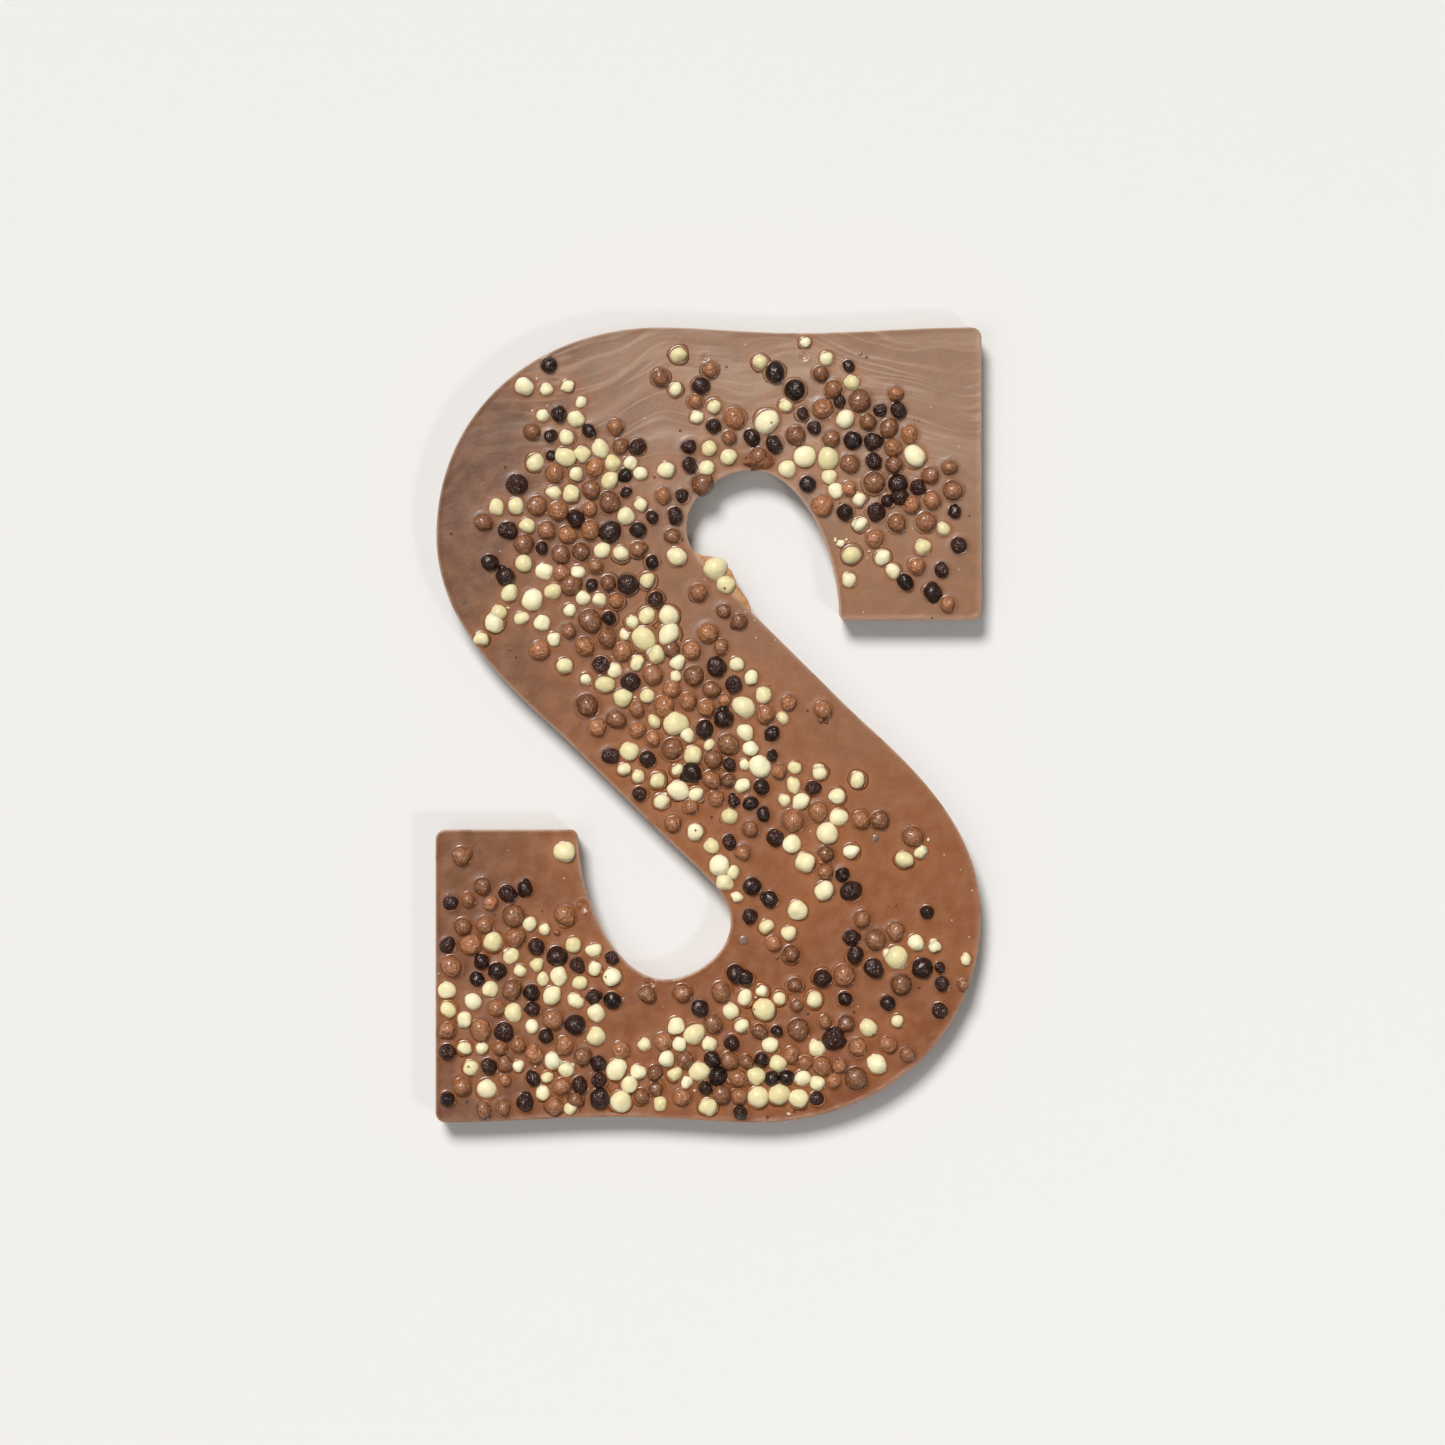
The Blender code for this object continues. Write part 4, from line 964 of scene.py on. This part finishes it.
def add_ball(shape, template, centre, radius, form, draw):
    """Adds one lumpy ball of a tone of its own to a shape."""
    first = len(shape.verts)
    shape.from_mesh(template)
    shape.verts.ensure_lookup_table()
    tone = shape.verts.layers.float["tone"]
    its_tone = draw.random()
    turn = Matrix.Rotation(draw.uniform(0, math.tau), 3, chance_way(draw))
    wide = 1 + draw.uniform(-1, 1) * form["oval"]
    deep = 1 + draw.uniform(-1, 1) * form["oval"]
    stretch = Vector((wide, deep, FLATTENING))
    heading = Matrix.Rotation(draw.uniform(0, math.tau), 3, "Z")
    where = Vector((draw.uniform(0, 99), draw.uniform(0, 99), draw.uniform(0, 99)))
    sides = [chance_way(draw) for _ in range(form["sides"])]
    unevenness = form["lump"] * min(EVEN_RADIUS / radius, MOST_UNEVEN)
    for vertex in shape.verts[first:]:
        way = turn @ vertex.co
        lump = 1 + unevenness * noise.noise(way * form["detail"] + where)
        for side in sides:
            way -= side * max(way.dot(side) - form["flat"], 0)
        vertex.co = heading @ (way * stretch) * lump * radius + centre
        vertex[tone] = its_tone


def pearl_mesh(kind):
    """All pearls of one kind in one mesh."""
    form = PEARL_FORMS[kind]
    draw = random.Random(kind)
    template = ball_template()
    shape = bmesh.new()
    ceiling = HIGHEST.z / MM - HEADROOM
    for place, radius, its_kind, depth in PEARLS:
        if its_kind != kind:
            continue
        centre = Vector((place.x, place.y, THICKNESS - depth))
        centre.z = min(centre.z, ceiling - radius)
        add_ball(shape, template, centre, radius, form, draw)
        if draw.random() < form["twins"]:
            angle = draw.uniform(0, math.tau)
            beside = Vector((math.cos(angle), math.sin(angle), -TWIN_SINK)) * radius * TWIN_REACH
            add_ball(shape, template, centre + beside, radius * TWIN_SIZE, form, draw)
    bmesh.ops.scale(shape, vec=(MM, MM, MM), verts=shape.verts)
    for vertex in shape.verts:
        vertex.co = [min(max(at, low), high) for at, low, high in zip(vertex.co, LOWEST, HIGHEST)]
    bpy.data.meshes.remove(template)
    return mesh_from(shape, f"{kind}_pearls")


def chip_mesh(kind):
    """Small broken bits of one kind: the measured ones, and more beside pearls chosen by chance."""
    draw = random.Random(kind)
    template = ball_template()
    shape = bmesh.new()
    chips = list(CHIPS[kind])
    whole = [pearl for pearl in PEARLS if pearl[2] == kind]
    for _ in range(CHIPS_BY_CHANCE):
        place, radius, _, _ = draw.choice(whole)
        angle = draw.uniform(0, math.tau)
        spot = place + Vector((math.cos(angle), math.sin(angle))) * (radius + draw.uniform(*CHIP_THROW))
        chips.append((*spot, draw.uniform(*CHIP_SIZES)))
    for x, y, size in chips:
        if depth_inside(Vector((x, y)), OUTLINE) > CHIP_CLEARANCE:
            centre = Vector((x, y, THICKNESS + size * CHIP_RISE))
            add_ball(shape, template, centre, size / 2, CRUMB_FORM, draw)
    bmesh.ops.scale(shape, vec=(MM, MM, MM), verts=shape.verts)
    bpy.data.meshes.remove(template)
    return mesh_from(shape, f"{kind}_chips")


def add_pearls(kind, material):
    """Adds the pearls of one kind, rounded off by a subdivision, and the chips that broke off them."""
    piece = add_piece(f"{kind}_pearls", pearl_mesh(kind), material)
    rounding = piece.modifiers.new("rounding", "SUBSURF")
    rounding.levels = 1
    rounding.render_levels = 1
    if kind in CHIPS:
        add_piece(f"{kind}_chips", chip_mesh(kind), material)


def collar_template():
    """A ring of chocolate that creeps up on a pearl of radius 1, turned from its section."""
    ring = bmesh.new()
    section = [ring.verts.new((1 + reach, 0, height)) for reach, height in COLLAR_SECTION]
    edges = [ring.edges.new(pair) for pair in zip(section, section[1:] + section[:1])]
    bmesh.ops.spin(ring, geom=section + edges, cent=(0, 0, 0), axis=(0, 0, 1), angle=math.tau,
                   steps=COLLAR_SIDES, use_merge=True, use_duplicate=False)
    bmesh.ops.recalc_face_normals(ring, faces=ring.faces)
    return mesh_from(ring, "collar")


def collar_mesh():
    """The rings round all pearls, each as wide as its pearl where it breaks through the face."""
    draw = random.Random(SEED)
    template = collar_template()
    shape = bmesh.new()
    for place, radius, kind, depth in PEARLS:
        contact = math.sqrt(radius ** 2 - depth ** 2)
        rise = PEARL_FORMS[kind]["collar"] * draw.uniform(*COLLAR_SPREAD)
        where = Vector((draw.uniform(0, 99), draw.uniform(0, 99), 0))
        at_edge = depth_inside(place, OUTLINE) < radius + COLLAR_REACH
        first = len(shape.verts)
        shape.from_mesh(template)
        shape.verts.ensure_lookup_table()
        for vertex in shape.verts[first:]:
            out = vertex.co.xy.normalized()
            reach = vertex.co.xy.length - 1
            swell = 1 + COLLAR_SWELL * noise.noise(out.to_3d() * COLLAR_LUMPS + where)
            spot = place + out * (contact + reach * swell)
            height = vertex.co.z * rise * swell
            if at_edge and depth_inside(spot, OUTLINE) < COLLAR_INLAND:
                spot = place + out * radius * (TUCK_OUT + TUCK_SHRINK * reach)
                height = TUCK_SHRINK * vertex.co.z - TUCK_DEPTH
            vertex.co = (*spot, THICKNESS + height)
    bmesh.ops.scale(shape, vec=(MM, MM, MM), verts=shape.verts)
    bpy.data.meshes.remove(template)
    return mesh_from(shape, "collars")


def bubble_mesh():
    """Low domes over air that was caught under the skin."""
    shape = bmesh.new()
    for x, y, size in AIR_BUBBLES:
        made = bmesh.ops.create_uvsphere(shape, u_segments=DOME_SIDES, v_segments=DOME_RINGS, radius=size)
        bmesh.ops.scale(shape, vec=(1, 1, DOME_FLATNESS), verts=made["verts"])
        bmesh.ops.translate(shape, vec=(x, y, THICKNESS - DOME_SINK), verts=made["verts"])
    bmesh.ops.scale(shape, vec=(MM, MM, MM), verts=shape.verts)
    return mesh_from(shape, "air_bubbles")


def film_mesh():
    """The thin film that ran out over the opening's edge and set."""
    shape = bmesh.new()
    top = THICKNESS - FILM_SINK
    rim = [shape.verts.new((x, y, top - FILM_THICKNESS)) for x, y in FILM]
    sheet = shape.faces.new(rim)
    raised = bmesh.ops.extrude_face_region(shape, geom=[sheet])["geom"]
    upper = [part for part in raised if isinstance(part, bmesh.types.BMVert)]
    bmesh.ops.translate(shape, vec=(0, 0, FILM_THICKNESS), verts=upper)
    bmesh.ops.recalc_face_normals(shape, faces=shape.faces)
    bmesh.ops.bevel(shape, geom=shape.edges[:], offset=FILM_ROUNDING, segments=3, profile=0.5, affect="EDGES",
                    material=-1)
    bmesh.ops.scale(shape, vec=(MM, MM, MM), verts=shape.verts)
    return mesh_from(shape, "thin_film")


def drape_mesh():
    """The thin, glossy chocolate that hangs from a pearl to the opening's edge in flat folds."""
    x, y, half_width, half_height, rise = DRAPE
    shape = bmesh.new()
    bmesh.ops.create_cone(shape, cap_ends=True, segments=DRAPE_SIDES, radius1=1, radius2=DRAPE_TOP, depth=1)
    bmesh.ops.scale(shape, vec=(half_width, half_height, rise), verts=shape.verts)
    bmesh.ops.translate(shape, vec=(x, y, THICKNESS + rise / 2 - DRAPE_SINK), verts=shape.verts)
    bmesh.ops.bevel(shape, geom=shape.edges[:], offset=DRAPE_ROUNDING, segments=2, profile=0.5,
                    affect="EDGES", material=-1)
    bmesh.ops.scale(shape, vec=(MM, MM, MM), verts=shape.verts)
    return mesh_from(shape, "drape")


def white_chocolate(colours):
    """Smooth cream with painted warm shade on its low part, where it sinks into the slab, and a few dark
    pits.
    """
    finish = Finish("white chocolate coating")
    place = finish.place()
    tone = finish.measure("tone")
    cloud = finish.grain(place, 2.6, 2)
    # low marks the pearl's lower part, which gets painted warm shade
    low = 1 - finish.axis(place, "Z").smooth(0.0079, 0.0094)
    colour = finish.mix(tone, DEEP_CREAM, tuple(colours.white_pearl))
    colour = finish.mix(cloud.smooth(0.4, 0.7) * 0.35, colour, CREAM_CLOUD)
    colour = finish.mix(low * 0.3, colour, PAINTED_SHADE_CREAM)
    pit = 1 - finish.specks(place, 5.5).smooth(0.045, 0.08)
    colour = finish.mix(pit * 0.9, colour, CREAM_PIT)
    finish.cover(colour, 0.36 + 0.16 * cloud, 0.1, 0.25)
    finish.shader.inputs["Diffuse Roughness"].default_value = 1.0
    finish.shader.inputs["Subsurface Weight"].default_value = 0.6
    finish.shader.inputs["Subsurface Radius"].default_value = (1.0, 0.95, 0.8)
    finish.shader.inputs["Subsurface Scale"].default_value = 1.6 * MM
    finish.bump(finish.grain(place, 0.8, 3) * 1.3 + cloud * 0.8 - pit * 2.0, 0.13)
    return finish.material


def milk_coating(colours):
    """Copper brown and grainy, with small bright specks that are partly painted glints; painted light on its
    top, and painted shade on its low part and in the grain's hollows.
    """
    finish = Finish("milk chocolate coating")
    place = finish.place()
    tone = finish.measure("tone")
    grain = finish.grain(place, 0.7, 3)
    lumps = finish.grain(place, 1.3, 2)
    up = finish.axis(place, "Z")
    # Painted light on the top and painted shade on the low part
    high = up.smooth(0.0082, 0.0104)
    low = 1 - up.smooth(0.0079, 0.0092)
    colour = finish.mix(tone, DEEP_COPPER, tuple(colours.milk_pearl))
    colour = finish.mix(high * 0.3, colour, PAINTED_LIGHT_COPPER)
    colour = finish.mix(low * 0.4, colour, PAINTED_SHADE_COPPER)
    # Grain: pale crests are partly painted glints, dark hollows partly painted shade
    colour = finish.mix(grain.smooth(0.54, 0.70) * 0.65, colour, BRIGHT_GRAIN_AND_GLINT)
    colour = finish.mix((1 - grain.smooth(0.32, 0.46)) * 0.4, colour, DARK_GRAIN_AND_SHADE)
    finish.cover(colour, 0.28 + 0.2 * lumps, 0.45, 0.12)
    crinkled = tone.smooth(0.4, 0.8)
    finish.bump(grain * 1.1 + lumps * 1.4 + crinkled * lumps * 1.6, 0.30)
    return finish.material


def dark_coating(colours):
    """Near black with a warm cast and softly glossy, wrinkled here and there."""
    finish = Finish("dark chocolate coating")
    place = finish.place()
    tone = finish.measure("tone")
    wrinkled = tone.smooth(0.3, 0.7)
    lumps = finish.grain(place, 1.2, 2)
    grain = finish.grain(place, 0.6, 2)
    colour = finish.mix(tone, tuple(colours.dark_pearl), WARM_DARK)
    colour = finish.mix(lumps.smooth(0.5, 0.75) * 0.5, colour, PALE_DARK)
    finish.cover(colour, 0.20 + 0.16 * grain, 0.12, 0.06)
    finish.shader.inputs["Specular Tint"].default_value = (1.0, 0.82, 0.74, 1)
    beads = tone.smooth(0.6, 0.85) * (1 - finish.specks(place, 1.0))
    finish.bump(lumps * wrinkled * 2.6 + lumps * 0.8 + grain * 0.6 + beads * 2.4, 0.24)
    return finish.material


class LETTER_OT_pour(bpy.types.Operator):
    """Pours the slab in place of the plain solid"""

    bl_idname = "letter.pour"
    bl_label = "Pour the letter"

    def execute(self, context):
        sizes = context.scene.letter_sizes
        mesh = slab_mesh(sizes)
        pour_face(mesh, sizes)
        material = poured_chocolate(context.scene.letter_colours)
        piece = add_piece("poured_letter", mesh, material)
        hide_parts("chocolate_letter")
        return {"FINISHED"}


class LETTER_OT_creep(bpy.types.Operator):
    """Adds the chocolate that crept up on the pearls, the air bubbles, the thin film and the drape"""

    bl_idname = "letter.creep"
    bl_label = "Add the crept chocolate"

    def execute(self, context):
        colours = context.scene.letter_colours
        add_piece("collars", collar_mesh(), crept_chocolate(colours))
        add_piece("air_bubbles", bubble_mesh(), caught_air())
        add_piece("thin_film", film_mesh(), thin_chocolate())
        add_piece("drape", drape_mesh(), glossy_drape())
        return {"FINISHED"}


class LETTER_OT_strew(bpy.types.Operator):
    """Strews white, milk and dark pearls over the face"""

    bl_idname = "letter.strew"
    bl_label = "Strew the pearls"

    def execute(self, context):
        colours = context.scene.letter_colours
        add_pearls("white", white_chocolate(colours))
        add_pearls("milk", milk_coating(colours))
        add_pearls("dark", dark_coating(colours))
        return {"FINISHED"}


class LETTER_OT_stage(bpy.types.Operator):
    """Sets the floor, the lights and the camera"""

    bl_idname = "letter.stage"
    bl_label = "Set the stage"

    def execute(self, context):
        looks = context.scene.letter_stage
        add_floor(looks)
        add_key_light(looks)
        add_soft_light("side", SIDE_PLACE, SIDE_SIZE, looks.side)
        add_soft_light("fill", FILL_PLACE, FILL_SIZE, looks.fill)
        add_sky(looks)
        add_camera()
        context.scene.view_settings.view_transform = "Standard"
        return {"FINISHED"}


def add_floor(looks):
    """A wide pale floor just under the letter."""
    shape = bmesh.new()
    bmesh.ops.create_grid(shape, x_segments=1, y_segments=1, size=FLOOR_REACH)
    floor = bpy.data.objects.new("floor", mesh_from(shape, "floor"))
    bpy.context.scene.collection.objects.link(floor)
    finish = Finish("floor")
    finish.shader.inputs["Base Color"].default_value = tuple(looks.floor)
    finish.shader.inputs["Roughness"].default_value = FLOOR_ROUGHNESS
    floor.data.materials.append(finish.material)


def hang_lamp(name, light, place):
    """Puts a light at a place and turns it to the letter."""
    lamp = bpy.data.objects.new(name, light)
    lamp.location = place
    lamp.rotation_euler = (-Vector(place)).to_track_quat("-Z", "Y").to_euler()
    bpy.context.scene.collection.objects.link(lamp)


def add_key_light(looks):
    """A broad, distant light from the top left, so that the floor is evenly lit all round."""
    light = bpy.data.lights.new("key", "SUN")
    light.angle = looks.softness
    light.energy = looks.key
    hang_lamp("key", light, KEY_PLACE)


def add_soft_light(name, place, size, power):
    """A wide light that faces the letter."""
    light = bpy.data.lights.new(name, "AREA")
    light.shape = "RECTANGLE"
    light.size, light.size_y = size
    light.energy = power
    hang_lamp(name, light, place)


def add_sky(looks):
    """An even white light from all round."""
    sky = bpy.data.worlds.new("sky")
    sky.use_nodes = True
    background = sky.node_tree.nodes["Background"]
    background.inputs["Color"].default_value = (1, 1, 1, 1)
    background.inputs["Strength"].default_value = looks.sky
    bpy.context.scene.world = sky


def add_camera():
    """A long lens that looks straight down."""
    lens = bpy.data.cameras.new("camera")
    lens.sensor_width = SENSOR_WIDTH
    lens.lens = SENSOR_WIDTH * (CAMERA_HEIGHT - THICKNESS) / PHOTO_WIDTH
    camera = bpy.data.objects.new("camera", lens)
    camera.location = Vector((*PHOTO_CENTRE, CAMERA_HEIGHT)) * MM
    bpy.context.scene.collection.objects.link(camera)
    bpy.context.scene.camera = camera


class LETTER_PT_panel(bpy.types.Panel):
    """The letter's sizes, colours and steps"""

    bl_idname = "LETTER_PT_panel"
    bl_label = "Chocolate letter"
    bl_space_type = "VIEW_3D"
    bl_region_type = "UI"
    bl_category = "Letter"

    def draw(self, context):
        for group in (context.scene.letter_sizes, context.scene.letter_colours, context.scene.letter_stage):
            box = self.layout.box()
            for name in group.bl_rna.properties.keys():
                if name not in ("rna_type", "name"):
                    box.prop(group, name)
        for operator in STEPS:
            self.layout.operator(operator.bl_idname)


STEPS = (LETTER_OT_pour, LETTER_OT_creep, LETTER_OT_strew, LETTER_OT_stage)
GROUPS = {"letter_sizes": LetterSizes, "letter_colours": LetterColours, "letter_stage": StageLooks}


def register():
    for kind in (*GROUPS.values(), *STEPS, LETTER_PT_panel):
        bpy.utils.register_class(kind)
    for name, group in GROUPS.items():
        setattr(bpy.types.Scene, name, PointerProperty(type=group))


def unregister():
    for name in GROUPS:
        delattr(bpy.types.Scene, name)
    for kind in (LETTER_PT_panel, *STEPS, *GROUPS.values()):
        bpy.utils.unregister_class(kind)


def main():
    register()
    bpy.ops.letter.pour()
    bpy.ops.letter.creep()
    bpy.ops.letter.strew()
    bpy.ops.letter.stage()


if __name__ == "__main__":
    main()
